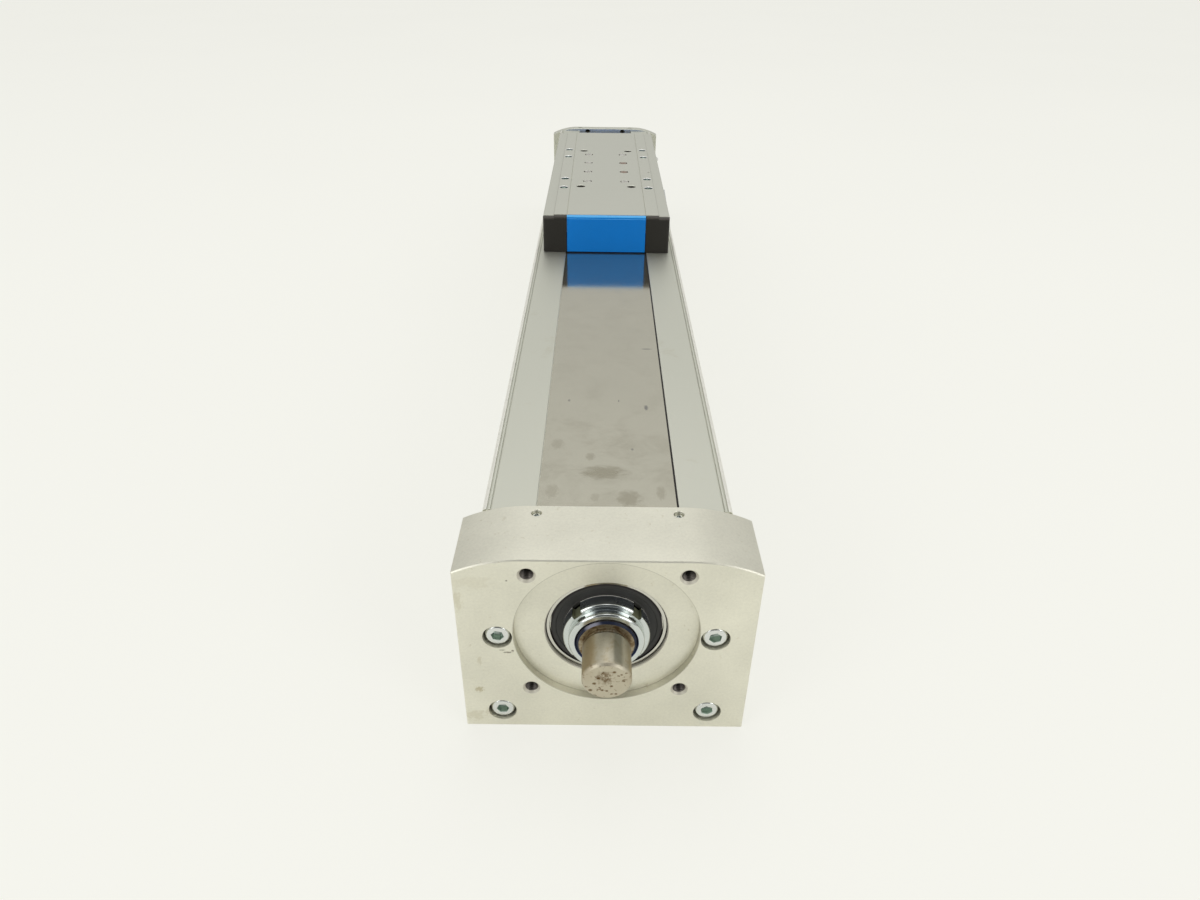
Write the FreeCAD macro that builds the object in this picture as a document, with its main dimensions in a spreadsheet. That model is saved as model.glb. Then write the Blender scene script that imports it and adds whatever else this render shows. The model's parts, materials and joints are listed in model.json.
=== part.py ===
import FreeCAD, Part
import math
import operator
import os
import types

import Sketcher

# Ball screw linear axis: an extruded housing with two end covers, a ball screw turned from
# the drive end, two ball guide rails inside, and a slide that is closed off by a steel band.
# Frame: X across, Y from the drive end to the rear, Z up, origin on the screw axis in the
# outer face of the drive cover. All sizes are in millimetres.

DIMENSIONS = {
    # End covers
    "cover_width": 150.0,
    "axis_height": 69.0,
    "crown_height": 48.4,
    "crown_flat": 80.0,
    "crown_radius": 78.0,
    "drive_cover_depth": 43.5,
    "rear_cover_depth": 13.0,
    "cover_chamfer": 0.6,
    "recess_diameter": 94.0,
    "recess_depth": 4.0,
    "flange_circle": 110.0,
    "flange_hole": 6.8,
    "flange_hole_mouth": 7.8,
    "flange_hole_depth": 16.0,
    "hub_diameter": 54.0,
    "hub_length": 19.5,
    "hub_relief": 28.0,
    "hub_relief_depth": 8.0,
    # Screws of the end covers
    "cover_screw_spacing": 110.0,
    "cover_screw_upper": 66.8,
    "cover_screw_lower": 12.4,
    "cover_screw": 8.0,
    "cover_screw_head": 13.0,
    "cover_screw_head_height": 8.0,
    "cover_screw_recess": 9.0,
    "cover_screw_grip": 18.0,
    # Extruded housing
    "profile_width": 130.0,
    "profile_height": 114.5,
    "profile_length": 918.5,
    "floor_thickness": 14.0,
    "roof_thickness": 9.5,
    "cavity_width": 92.0,
    "opening_width": 60.0,
    "edge_radius": 2.2,
    "groove_inset": 2.7,
    "groove_pitch": 1.9,
    "groove_width": 0.7,
    "groove_depth": 1.0,
    # Slots of the housing
    "slot_mouth": 8.2,
    "slot_head": 15.0,
    "side_slot_height": 39.0,
    "side_slot_lip": 4.0,
    "side_slot_head_depth": 7.0,
    "base_slot_spacing": 60.0,
    "base_slot_lip": 3.5,
    "base_slot_head_depth": 5.5,
    "sensor_slot_height": 90.0,
    "sensor_slot_mouth": 5.2,
    "sensor_slot_head": 6.8,
    "sensor_slot_lip": 1.6,
    "sensor_slot_head_depth": 4.6,
    # Cover band, its seat and its clamps
    "seat_width": 74.4,
    "seat_depth": 0.9,
    "magnet_width": 4.8,
    "magnet_thickness": 1.5,
    "band_width": 73.0,
    "band_thickness": 0.3,
    "band_shift": 0.3,
    "band_lift": 11.25,
    "band_ramp": 46.0,
    "band_entry": 24.0,
    "tongue_width": 62.0,
    "tongue_length": 9.0,
    "clamp_width": 84.0,
    "clamp_depth": 9.6,
    "clamp_height": 6.2,
    "clamp_screw": 5.0,
    "clamp_screw_length": 7.5,
    "clamp_screw_sink": 1.8,
    "clamp_screw_spacing": 72.4,
    "clamp_screw_setback": 6.5,
    "relief_hole": 8.0,
    "relief_hole_depth": 6.0,
    "relief_hole_spacing": 50.4,
    "relief_hole_drop": 1.5,
    # Bearings
    "bearing_outer": 62.0,
    "bearing_inner": 30.0,
    "bearing_width": 16.0,
    "bearing_setback": 1.8,
    "bearing_shoulder": 52.0,
    "outer_race": 52.0,
    "inner_race": 39.0,
    "bearing_chamfer": 1.2,
    "seal_diameter": 56.4,
    "seal_thickness": 2.0,
    "seal_sink": 0.4,
    "seal_lip_gap": 0.5,
    "rear_bearing_outer": 42.0,
    "rear_bearing_inner": 20.0,
    "rear_bearing_width": 12.0,
    "rear_bearing_setback": 3.5,
    "rear_outer_race": 35.0,
    "rear_inner_race": 27.0,
    # Ball screw and its nut
    "screw_diameter": 40.0,
    "screw_shoulder": 37.0,
    "screw_start_gap": 2.0,
    "screw_end_gap": 0.5,
    "screw_rear_stub": 3.0,
    "journal_diameter": 24.0,
    "journal_projection": 30.1,
    "journal_chamfer": 0.8,
    "relief_diameter": 22.6,
    "relief_start": 9.0,
    "thread_projection": 6.4,
    "ring_groove": 18.6,
    "ring_thickness": 1.2,
    "ring_diameter": 25.0,
    "lock_nut_diameter": 43.8,
    "lock_nut_flange": 7.4,
    "lock_nut_collar": 38.0,
    "lock_nut_width": 11.2,
    "lock_nut_chamfer": 1.0,
    "lock_nut_slot": 5.5,
    "lock_nut_slot_depth": 2.2,
    "nut_diameter": 60.0,
    "nut_length": 85.0,
    "nut_flange_diameter": 80.0,
    "nut_flange_width": 63.0,
    "nut_flange_thickness": 12.0,
    "nut_screw_circle": 70.0,
    "nut_screw": 5.0,
    "nut_screw_head": 8.5,
    "nut_screw_head_height": 5.0,
    "nut_screw_length": 14.0,
    "wiper_diameter": 52.0,
    "wiper_width": 5.0,
    # Ball guides
    "rail_spacing": 52.0,
    "rail_width": 15.0,
    "rail_waist": 10.6,
    "rail_height": 13.5,
    "rail_foot": 4.5,
    "rail_crown": 3.5,
    "rail_slope": 1.8,
    "rail_end_gap": 1.0,
    "carriage_width": 34.0,
    "carriage_length": 46.0,
    "carriage_height": 21.0,
    "carriage_lift": 3.0,
    "carriage_cap_length": 6.0,
    "carriage_cap_inset": 0.6,
    "carriage_pitch": 230.0,
    # Carrier and saddle
    "carrier_width": 84.0,
    "carrier_length": 316.0,
    "carrier_height": 67.0,
    "neck_width": 54.0,
    "neck_length": 200.0,
    "saddle_wall": 18.7,
    "saddle_floor": 7.0,
    "saddle_screw": 6.0,
    "saddle_screw_head": 10.0,
    "saddle_screw_head_height": 4.0,
    "saddle_screw_length": 18.0,
    "saddle_screw_spacing": 36.0,
    "saddle_screw_pitch": 70.0,
    "buffer_diameter": 12.0,
    "buffer_length": 20.5,
    "buffer_spacing": 77.0,
    "buffer_height": 93.0,
    # Slide plate
    "slide_centre": 611.0,
    "slide_length": 348.0,
    "slide_width": 114.4,
    "slide_height": 148.5,
    "slide_gap": 0.5,
    "plate_thickness": 16.5,
    "plate_step": 1.0,
    "plate_step_inset": 9.9,
    "plate_groove_width": 0.8,
    "plate_groove_depth": 0.5,
    "plate_chamfer": 0.8,
    "plate_screw_spacing": 84.0,
    "plate_screw_inner": 94.0,
    "plate_screw_outer": 160.4,
    "plate_screw": 4.0,
    "plate_screw_head": 7.0,
    "plate_screw_head_height": 4.0,
    "plate_screw_recess": 4.6,
    "plate_screw_grip": 11.0,
    "load_hole": 8.5,
    "load_hole_mouth": 9.6,
    "load_hole_depth": 14.0,
    "load_hole_spacing_x": 50.4,
    "load_hole_spacing_y": 151.4,
    "centring_hole": 9.0,
    "centring_depth": 2.2,
    "centring_thread": 5.0,
    "centring_thread_depth": 12.0,
    "centring_pitch": 38.0,
    "pin_hole": 2.6,
    "pin_hole_depth": 5.0,
    "pin_hole_inset": 12.0,
    "pin_hole_y": 20.0,
    # End pieces of the slide
    "lip_thickness": 2.9,
    "lip_radius": 2.6,
    "lip_drop": 0.4,
    "end_cap_depth": 26.0,
    "cap_corner": 2.0,
    "deflector_width": 71.2,
    "shoe_length": 42.0,
    "strip_place": 4.0,
    "strip_width": 3.0,
    "strip_height": 3.6,
    "strip_length": 68.0,
    "strip_clearance": 0.35,
    "pad_width": 70.0,
    "pad_round": 2.0,
    "pad_setback": 4.0,
    # Switch lug and grease nipple
    "lug_thickness": 1.5,
    "lug_start": 19.0,
    "lug_length": 83.0,
    "lug_raise": 6.0,
    "lug_height": 24.0,
    "lug_front_height": 16.0,
    "lug_hole_first": 42.0,
    "lug_hole_pitch": 36.0,
    "lug_screw": 4.0,
    "lug_screw_raise": 11.0,
    "lug_screw_head": 7.0,
    "lug_screw_head_height": 2.2,
    "lug_screw_length": 8.0,
    "nipple_inset": 47.0,
    "nipple_raise": 12.8,
    "nipple_thread": 6.0,
    "nipple_thread_length": 5.0,
    "nipple_collar": 8.0,
    "nipple_collar_length": 2.4,
    "nipple_neck": 4.2,
    "nipple_neck_length": 1.6,
    "nipple_head": 5.6,
    "nipple_head_length": 3.0,
    # Fits
    "fit_gap": 0.1,
    "seat_gap": 0.02,
    "screw_clearance": 0.4,
    "rail_clearance": 0.5,
    "joint_gap": 0.35,
    "cover_screw_play": 1.0,
    "cover_head_play": 2.0,
    "saddle_head_play": 0.6,
    "plate_head_play": 1.1,
    "cut_overshoot": 1.0,
}

LOCK_NUT_SLOTS = 4
NUT_SCREW_ANGLES = (45, 135, 225, 315)
FRONT = -1
REAR = 1
LEFT = -1
RIGHT = 1

doc = FreeCAD.newDocument("ball_screw_axis")
sheet = doc.addObject("Spreadsheet::Sheet", "Dimensions")
for row, (alias, number) in enumerate(DIMENSIONS.items(), start=1):
    sheet.set(f"A{row}", alias)
    sheet.set(f"B{row}", str(number))
    sheet.setAlias(f"B{row}", alias)
doc.recompute()


class Size:
    """A size that carries its value together with the expression that gives it."""

    def __init__(self, value, text):
        self.value = value
        self.text = text

    def __add__(self, other):
        return combine(self, "+", other)

    def __radd__(self, other):
        return combine(other, "+", self)

    def __sub__(self, other):
        return combine(self, "-", other)

    def __rsub__(self, other):
        return combine(other, "-", self)

    def __mul__(self, other):
        return combine(self, "*", other)

    def __rmul__(self, other):
        return combine(other, "*", self)

    def __truediv__(self, other):
        return combine(self, "/", other)

    def __neg__(self):
        return combine(0, "-", self)


ARITHMETIC = {"+": operator.add, "-": operator.sub, "*": operator.mul, "/": operator.truediv}


def as_size(number):
    """A bare number as a Size, so that both can be mixed in one formula."""
    if isinstance(number, Size):
        return number
    return Size(float(number), f"({float(number)})")


def combine(left, sign, right):
    """The result of one arithmetic step, as a value and as an expression."""
    first = as_size(left)
    second = as_size(right)
    value = ARITHMETIC[sign](first.value, second.value)
    return Size(value, f"({first.text} {sign} {second.text})")


def root(size):
    """The square root of a Size."""
    return Size(math.sqrt(size.value), f"sqrt({size.text})")


d = types.SimpleNamespace(
    **{alias: Size(float(sheet.get(alias)), f"Dimensions.{alias}") for alias in DIMENSIONS}
)


# Helpers that bind features to the sheet


def bind(feature, name, size):
    """Tie one property to its expression."""
    feature.setExpression(name, as_size(size).text)


def place(feature, x=0, y=0, z=0):
    """Tie the three coordinates of a placement to their expressions."""
    bind(feature, ".Placement.Base.x", x)
    bind(feature, ".Placement.Base.y", y)
    bind(feature, ".Placement.Base.z", z)


def origin_feature(body, role):
    """An axis or a plane of the body's own origin."""
    return next(item for item in body.Origin.OriginFeatures if item.Role == role)


def fix_point(sketch, geometry, position, x, y):
    """Hold one point of a sketch at bound distances from the sketch's origin."""
    for kind, size in (("DistanceX", as_size(x)), ("DistanceY", as_size(y))):
        constraint = Sketcher.Constraint(kind, -1, 1, geometry, position, size.value)
        index = sketch.addConstraint(constraint)
        sketch.setExpression(f"Constraints[{index}]", size.text)


def fix_radius(sketch, geometry, radius):
    """Hold the radius of an arc or a circle at a bound size."""
    size = as_size(radius)
    index = sketch.addConstraint(Sketcher.Constraint("Radius", geometry, size.value))
    sketch.setExpression(f"Constraints[{index}]", size.text)


def arc_between(start, end, radius, side):
    """The short arc between two points, with its centre on the left (1) or right (-1)."""
    chord = end - start
    half = chord.Length / 2
    offset = math.sqrt(max(radius * radius - half * half, 0.0))
    across = FreeCAD.Vector(-chord.y, chord.x, 0).normalize()
    centre = (start + end) / 2 + across * offset * side
    first, last = (start, end) if side > 0 else (end, start)
    circle = Part.Circle(centre, FreeCAD.Vector(0, 0, 1), radius)
    return Part.ArcOfCircle(circle, circle.parameter(first), circle.parameter(last))


def draw_outline(sketch, corners):
    """Draw a closed outline. A corner is (x, y), or (x, y, radius, side) where an arc follows it."""
    points = [FreeCAD.Vector(as_size(c[0]).value, as_size(c[1]).value, 0) for c in corners]
    first = sketch.GeometryCount
    count = len(corners)
    ends = []
    for number, corner in enumerate(corners):
        start = points[number]
        end = points[(number + 1) % count]
        if len(corner) == 2:
            sketch.addGeometry(Part.LineSegment(start, end), False)
            ends.append((1, 2))
        else:
            sketch.addGeometry(arc_between(start, end, as_size(corner[2]).value, corner[3]), False)
            ends.append((1, 2) if corner[3] > 0 else (2, 1))
    for number, corner in enumerate(corners):
        following = (number + 1) % count
        join = (first + number, ends[number][1], first + following, ends[following][0])
        sketch.addConstraint(Sketcher.Constraint("Coincident", *join))
        fix_point(sketch, first + number, ends[number][0], corner[0], corner[1])
        if len(corner) == 4:
            fix_radius(sketch, first + number, corner[2])


def draw_circle(sketch, x, y, radius):
    """Draw a circle about a bound centre."""
    centre = FreeCAD.Vector(as_size(x).value, as_size(y).value, 0)
    circle = Part.Circle(centre, FreeCAD.Vector(0, 0, 1), as_size(radius).value)
    geometry = sketch.addGeometry(circle, False)
    fix_point(sketch, geometry, 3, x, y)
    fix_radius(sketch, geometry, radius)


def new_body(label):
    """An empty body with its own label."""
    body = doc.addObject("PartDesign::Body", label)
    body.Label = label
    return body


def new_sketch(body, role):
    """A sketch on one of the body's own origin planes."""
    sketch = body.newObject("Sketcher::SketchObject", body.Name + "_sketch")
    sketch.AttachmentSupport = (origin_feature(body, role), [""])
    sketch.MapMode = "FlatFace"
    return sketch


def pad(body, sketch, length, reverse=False):
    """Extrude a sketch by a bound length."""
    feature = body.newObject("PartDesign::Pad", body.Name + "_pad")
    feature.Profile = sketch
    feature.Reversed = reverse
    bind(feature, "Length", length)
    return feature


def extrude_y(label, corners, start, end, circles=()):
    """A body extruded along Y from an outline in X and Z, with round ports through it."""
    body = new_body(label)
    sketch = new_sketch(body, "XZ_Plane")
    draw_outline(sketch, corners)
    for circle in circles:
        draw_circle(sketch, *circle)
    pad(body, sketch, end - start, reverse=True)
    place(body, y=start)
    return body


def extrude_x(label, corners, start, end):
    """A body extruded along X from an outline in Y and Z."""
    body = new_body(label)
    sketch = new_sketch(body, "YZ_Plane")
    draw_outline(sketch, corners)
    pad(body, sketch, end - start)
    place(body, x=start)
    return body


def extrude_z(label, corners, start, end):
    """A body extruded along Z from an outline in X and Y."""
    body = new_body(label)
    sketch = new_sketch(body, "XY_Plane")
    draw_outline(sketch, corners)
    pad(body, sketch, end - start)
    place(body, z=start)
    return body


def turn(label, corners, axis="Y_Axis"):
    """A body turned about an axis of its origin, from an outline in the X and Y plane."""
    body = new_body(label)
    sketch = new_sketch(body, "XY_Plane")
    draw_outline(sketch, corners)
    feature = body.newObject("PartDesign::Revolution", label + "_turned")
    feature.Profile = sketch
    feature.ReferenceAxis = (origin_feature(body, axis), [""])
    feature.Angle = 360
    return body


def tube(label, inner, outer, start, end):
    """A plain ring about the screw axis."""
    return turn(label, [(inner, start), (outer, start), (outer, end), (inner, end)])


def end_edges(shape, near):
    """The names of the edges that lie in the given planes across Y."""
    names = []
    for number, edge in enumerate(shape.Edges, start=1):
        box = edge.BoundBox
        flat = box.YLength < 1e-6
        if flat and any(abs(box.YMin - level) < 1e-6 for level in near):
            names.append(f"Edge{number}")
    return names


def chamfer_ends(body, size):
    """Break the edges at both ends of an extruded body."""
    doc.recompute()
    tip = body.Tip
    levels = (tip.Shape.BoundBox.YMin, tip.Shape.BoundBox.YMax)
    feature = body.newObject("PartDesign::Chamfer", body.Name + "_edges")
    feature.Base = (tip, end_edges(tip.Shape, levels))
    bind(feature, "Size", size)


TURNED = {
    "x": FreeCAD.Rotation(FreeCAD.Vector(0, 1, 0), 90),
    "y": FreeCAD.Rotation(FreeCAD.Vector(1, 0, 0), -90),
    "z": FreeCAD.Rotation(),
}


def cylinder(name, axis, diameter, start, length):
    """A cylinder that runs from start along +X, +Y or +Z."""
    feature = doc.addObject("Part::Cylinder", name)
    bind(feature, "Radius", as_size(diameter) / 2)
    bind(feature, "Height", length)
    feature.Placement.Rotation = TURNED[axis]
    place(feature, *start)
    return feature


def cone(name, axis, first, last, start, length):
    """A cone that runs from start along +X, +Y or +Z between two diameters."""
    feature = doc.addObject("Part::Cone", name)
    bind(feature, "Radius1", as_size(first) / 2)
    bind(feature, "Radius2", as_size(last) / 2)
    bind(feature, "Height", length)
    feature.Placement.Rotation = TURNED[axis]
    place(feature, *start)
    return feature


def block(name, low, high):
    """A box between two corners."""
    feature = doc.addObject("Part::Box", name)
    for side, start, end in zip(("Length", "Width", "Height"), low, high):
        bind(feature, side, as_size(end) - start)
    place(feature, *low)
    return feature


def join(label, shapes):
    """One solid from several that touch."""
    feature = doc.addObject("Part::MultiFuse", label)
    feature.Label = label
    feature.Shapes = shapes
    return feature


def cut(label, base, tools):
    """A solid with the given tools taken away."""
    feature = doc.addObject("Part::Cut", label)
    feature.Label = label
    feature.Base = base
    feature.Tool = tools[0] if len(tools) == 1 else join(label + "_tools", tools)
    return feature


def group(label, shapes):
    """Equal pieces kept together as separate solids."""
    feature = doc.addObject("Part::Compound", label)
    feature.Label = label
    feature.Links = shapes
    return feature


def mirrored(corners):
    """The given half outline, continued by its mirror image in X."""
    return corners + [(-corner[0],) + tuple(corner[1:]) for corner in reversed(corners)]


# Places worked out from the sizes

overshoot = d.cut_overshoot
base = -d.axis_height
half_cover = d.cover_width / 2
half_profile = d.profile_width / 2
half_cavity = d.cavity_width / 2
groove_place = half_profile - d.groove_inset
half_opening = d.opening_width / 2
half_slide = d.slide_width / 2
half_band = d.band_width / 2
profile_start = d.drive_cover_depth
profile_end = profile_start + d.profile_length
profile_top = base + d.profile_height
rear_face = profile_end + d.rear_cover_depth
cavity_floor = base + d.floor_thickness
cavity_roof = profile_top - d.roof_thickness
seat_level = profile_top - d.seat_depth
band_top = seat_level + d.band_thickness
crown_reach = half_cover - d.crown_flat / 2
crown_drop = d.crown_radius - root(d.crown_radius * d.crown_radius - crown_reach * crown_reach)
shoulder = d.crown_height - crown_drop
port_half = d.cover_screw_spacing / 2
port_levels = (base + d.cover_screw_upper, base + d.cover_screw_lower)
port_places = [(side * port_half, level) for side in (LEFT, RIGHT) for level in port_levels]
bearing_front = d.recess_depth + d.bearing_setback
bearing_middle = bearing_front + d.bearing_width
bearing_rear = bearing_middle + d.bearing_width
hub_front = profile_end - d.hub_length
rear_bearing_front = hub_front + d.rear_bearing_setback
rear_bearing_rear = rear_bearing_front + d.rear_bearing_width
slide_top = base + d.slide_height
slide_bottom = profile_top + d.slide_gap
plate_bottom = slide_top - d.plate_thickness
half_slide_length = d.slide_length / 2
rail_top = cavity_floor + d.rail_height
carriage_top = cavity_floor + d.carriage_height
carrier_top = carriage_top + d.carrier_height
carrier_front = d.slide_centre - d.carrier_length / 2
carrier_rear = d.slide_centre + d.carrier_length / 2
saddle_top_of_floor = slide_bottom + d.saddle_floor
nipple_height = slide_bottom + d.nipple_raise
lip_top = slide_top - d.lip_drop


def from_end(end, inset):
    """The Y place that lies a given inset inside one end of the slide."""
    return d.slide_centre + end * (half_slide_length - inset)


def slot(corner_at, mouth, head, lip, head_depth):
    """The eight corners of an undercut slot, given a function of (along, deep)."""
    half_mouth = mouth / 2
    half_head = head / 2
    bottom = lip + head_depth
    return [
        corner_at(-half_mouth, 0),
        corner_at(-half_mouth, lip),
        corner_at(-half_head, lip),
        corner_at(-half_head, bottom),
        corner_at(half_head, bottom),
        corner_at(half_head, lip),
        corner_at(half_mouth, lip),
        corner_at(half_mouth, 0),
    ]


def side_slot_corner(height):
    """Corners of a slot in the right flank at a height above the base."""
    return lambda along, deep: (half_profile - deep, base + height + along)


def base_slot_corner(along, deep):
    """Corners of the right slot in the underside."""
    return (d.base_slot_spacing / 2 + along, base + deep)


def top_grooves():
    """The two narrow lines along the right top edge."""
    corners = []
    for place_x in (groove_place, groove_place - d.groove_pitch):
        outer = place_x + d.groove_width / 2
        inner = place_x - d.groove_width / 2
        deep = profile_top - d.groove_depth
        corners += [(outer, profile_top), (outer, deep), (inner, deep), (inner, profile_top)]
    return corners


# Extruded housing

half_seat = d.seat_width / 2
magnet_place = (half_opening + half_seat) / 2
magnet_inner = magnet_place - d.magnet_width / 2
magnet_outer = magnet_place + d.magnet_width / 2
magnet_bottom = seat_level - d.magnet_thickness

housing_half = (
    slot(base_slot_corner, d.slot_mouth, d.slot_head, d.base_slot_lip, d.base_slot_head_depth)
    + [(half_profile, base)]
    + slot(side_slot_corner(d.side_slot_height), d.slot_mouth, d.slot_head,
           d.side_slot_lip, d.side_slot_head_depth)
    + slot(side_slot_corner(d.sensor_slot_height), d.sensor_slot_mouth, d.sensor_slot_head,
           d.sensor_slot_lip, d.sensor_slot_head_depth)
)
housing_top = (
    top_grooves()
    + [
        (half_seat, profile_top),
        (half_seat, seat_level),
        (magnet_outer, seat_level),
        (magnet_outer, magnet_bottom),
        (magnet_inner, magnet_bottom),
        (magnet_inner, seat_level),
        (half_opening, seat_level),
        (half_opening, cavity_roof),
        (half_cavity, cavity_roof),
        (half_cavity, cavity_floor),
    ]
)
edge_low = profile_top - d.edge_radius
edge_in = half_profile - d.edge_radius
right_edge = [(half_profile, edge_low, d.edge_radius, 1), (edge_in, profile_top)]
left_edge = [(-edge_in, profile_top, d.edge_radius, 1), (-half_profile, edge_low)]


def flipped(corners):
    """A list of corners mirrored in X and run backwards."""
    return [(-x, z) for x, z in reversed(corners)]


housing_outline = (
    housing_half + right_edge + housing_top + flipped(housing_top) + left_edge + flipped(housing_half)
)
port_diameter = d.cover_screw + 2 * d.fit_gap
extrude_y(
    "housing_profile",
    housing_outline,
    profile_start,
    profile_end,
    circles=[(x, z, port_diameter / 2) for x, z in port_places],
)

magnets = []
for side in (LEFT, RIGHT):
    middle = side * magnet_place
    half = d.magnet_width / 2 - d.fit_gap
    low = (middle - half, profile_start, magnet_bottom)
    high = (middle + half, profile_end, seat_level)
    magnets.append(block("band_magnet", low, high))
group("band_magnets", magnets)


# End covers

cover_outline = [
    (-half_cover, base),
    (half_cover, base),
    (half_cover, shoulder, d.crown_radius, 1),
    (d.crown_flat / 2, d.crown_height),
    (-d.crown_flat / 2, d.crown_height, d.crown_radius, 1),
    (-half_cover, shoulder),
]


def cover_blank(label, start, end):
    """A cover plate with the crowned outline and broken edges."""
    body = extrude_y(label, cover_outline, start, end)
    chamfer_ends(body, d.cover_chamfer)
    return body


def cover_screw_holes(name, outer_face, inner_face, inward):
    """Counterbored holes for the four cover screws."""
    tools = []
    depth = inward * (inner_face - outer_face)
    for x, z in port_places:
        low = outer_face if inward > 0 else inner_face
        tools.append(cylinder(name, "y", d.cover_screw + d.cover_screw_play, (x, low, z), depth))
        recess = outer_face if inward > 0 else outer_face - d.cover_screw_recess
        head_room = d.cover_screw_head + d.cover_head_play
        tools.append(cylinder(name, "y", head_room, (x, recess, z), d.cover_screw_recess))
    return tools


clamp_top = seat_level
clamp_bottom = clamp_top - d.clamp_height
clamp_screw_top = d.crown_height - d.clamp_screw_sink


def clamp_pocket(name, inner_face, outward):
    """The pocket for the band clamp, open to the housing, its screw holes and two relief holes."""
    deep = inner_face + outward * (d.clamp_depth + 2 * d.fit_gap)
    low_y, high_y = (deep, inner_face) if outward < 0 else (inner_face, deep)
    half = d.clamp_width / 2 + d.fit_gap
    low = (-half, low_y, clamp_bottom - d.fit_gap)
    high = (half, high_y, band_top + d.seat_gap)
    tools = [block(name, low, high)]
    place_y = inner_face + outward * d.clamp_screw_setback
    for side in (LEFT, RIGHT):
        x = side * d.clamp_screw_spacing / 2
        start = (x, place_y, seat_level)
        length = d.crown_height - seat_level + overshoot
        tools.append(cylinder(name, "z", d.clamp_screw + 2 * d.fit_gap, start, length))
        relief_x = side * d.relief_hole_spacing / 2
        relief_start = low_y if outward > 0 else high_y - d.relief_hole_depth
        relief = (relief_x, relief_start, band_top - d.relief_hole_drop)
        tools.append(cylinder(name, "y", d.relief_hole, relief, d.relief_hole_depth))
    return tools


def drive_cover():
    """The thick cover at the drive end, with the motor flange and the bearing seat."""
    blank = cover_blank("drive_cover_blank", as_size(0), profile_start)
    tools = cover_screw_holes("drive_cover_hole", as_size(0), profile_start, 1)
    tools += clamp_pocket("drive_cover_pocket", profile_start, -1)
    start = (0, -overshoot, 0)
    tools.append(cylinder("recess", "y", d.recess_diameter, start, d.recess_depth + overshoot))
    seat = d.bearing_outer + 2 * d.seat_gap
    tools.append(cylinder("bearing_seat", "y", seat, start, bearing_rear + overshoot))
    passage = d.drive_cover_depth + 2 * overshoot
    tools.append(cylinder("shaft_passage", "y", d.bearing_shoulder, start, passage))
    reach = d.flange_circle / 2 * math.sqrt(0.5)
    flare = (d.flange_hole_mouth - d.flange_hole) / 2
    for x in (-reach, reach):
        for z in (-reach, reach):
            tools.append(cylinder("flange_hole", "y", d.flange_hole, (x, 0, z), d.flange_hole_depth))
            tools.append(cone("flange_mouth", "y", d.flange_hole_mouth, d.flange_hole, (x, 0, z), flare))
    cut("drive_cover", blank, tools)


def rear_cover():
    """The thin cover at the far end, with a hub that holds the floating bearing."""
    plate = cover_blank("rear_cover_plate", profile_end, rear_face)
    hub_reach = d.hub_length + overshoot
    hub = cylinder("rear_hub", "y", d.hub_diameter, (0, hub_front, 0), hub_reach)
    tools = cover_screw_holes("rear_cover_hole", rear_face, profile_end, -1)
    tools += clamp_pocket("rear_cover_pocket", profile_end, 1)
    seat = d.rear_bearing_outer + 2 * d.seat_gap
    seat_start = (0, hub_front - overshoot, 0)
    seat_depth = rear_bearing_rear - hub_front + overshoot
    tools.append(cylinder("rear_seat", "y", seat, seat_start, seat_depth))
    relief_start = (0, rear_bearing_rear - overshoot, 0)
    relief_depth = d.hub_relief_depth + overshoot
    tools.append(cylinder("rear_relief", "y", d.hub_relief, relief_start, relief_depth))
    cut("rear_cover", join("rear_cover_blank", [plate, hub]), tools)


drive_cover()
rear_cover()


def cap_screw(name, axis, inward, head_start, head, head_height, shank, length):
    """A socket screw whose head starts at head_start and whose shank points inward."""
    index = "xyz".index(axis)
    head_low = list(head_start)
    shank_low = list(head_start)
    if inward > 0:
        shank_low[index] = head_start[index] + head_height
    else:
        head_low[index] = head_start[index] - head_height
        shank_low[index] = head_low[index] - length
    head_part = cylinder(name + "_head", axis, head, head_low, head_height)
    shank_part = cylinder(name + "_shank", axis, shank, shank_low, length)
    return join(name, [head_part, shank_part])


def cover_screws(label, outer_face, depth, inward):
    """The four screws that hold one cover to the housing."""
    screws = []
    seat = outer_face + inward * (d.cover_screw_recess - d.cover_screw_head_height)
    length = depth - d.cover_screw_recess + d.cover_screw_grip
    for x, z in port_places:
        start = (x, seat, z)
        screw = cap_screw(label + "_one", "y", inward, start, d.cover_screw_head,
                          d.cover_screw_head_height, d.cover_screw, length)
        screws.append(screw)
    group(label, screws)


cover_screws("drive_cover_screws", as_size(0), d.drive_cover_depth, 1)
cover_screws("rear_cover_screws", rear_face, d.rear_cover_depth, -1)


def band_clamp(label, inner_face, outward):
    """The bar that grips the band's tongue, with its two screws."""
    near = inner_face + outward * d.fit_gap
    deep = near + outward * d.clamp_depth
    low_y, high_y = (deep, near) if outward < 0 else (near, deep)
    half = d.clamp_width / 2
    bar = block(label + "_bar", (-half, low_y, clamp_bottom), (half, high_y, clamp_top))
    holes = []
    screws = []
    place_y = inner_face + outward * d.clamp_screw_setback
    for side in (LEFT, RIGHT):
        start = (side * d.clamp_screw_spacing / 2, place_y, clamp_screw_top - d.clamp_screw_length)
        screws.append(cylinder(label + "_pin", "z", d.clamp_screw, start, d.clamp_screw_length))
        bore = d.clamp_screw + 2 * d.fit_gap
        holes.append(cylinder(label + "_bore", "z", bore, start, d.clamp_screw_length))
    cut(label, bar, holes)
    group(label + "_screws", screws)


band_clamp("drive_band_clamp", profile_start, -1)
band_clamp("rear_band_clamp", profile_end, 1)


# Bearings


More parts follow.
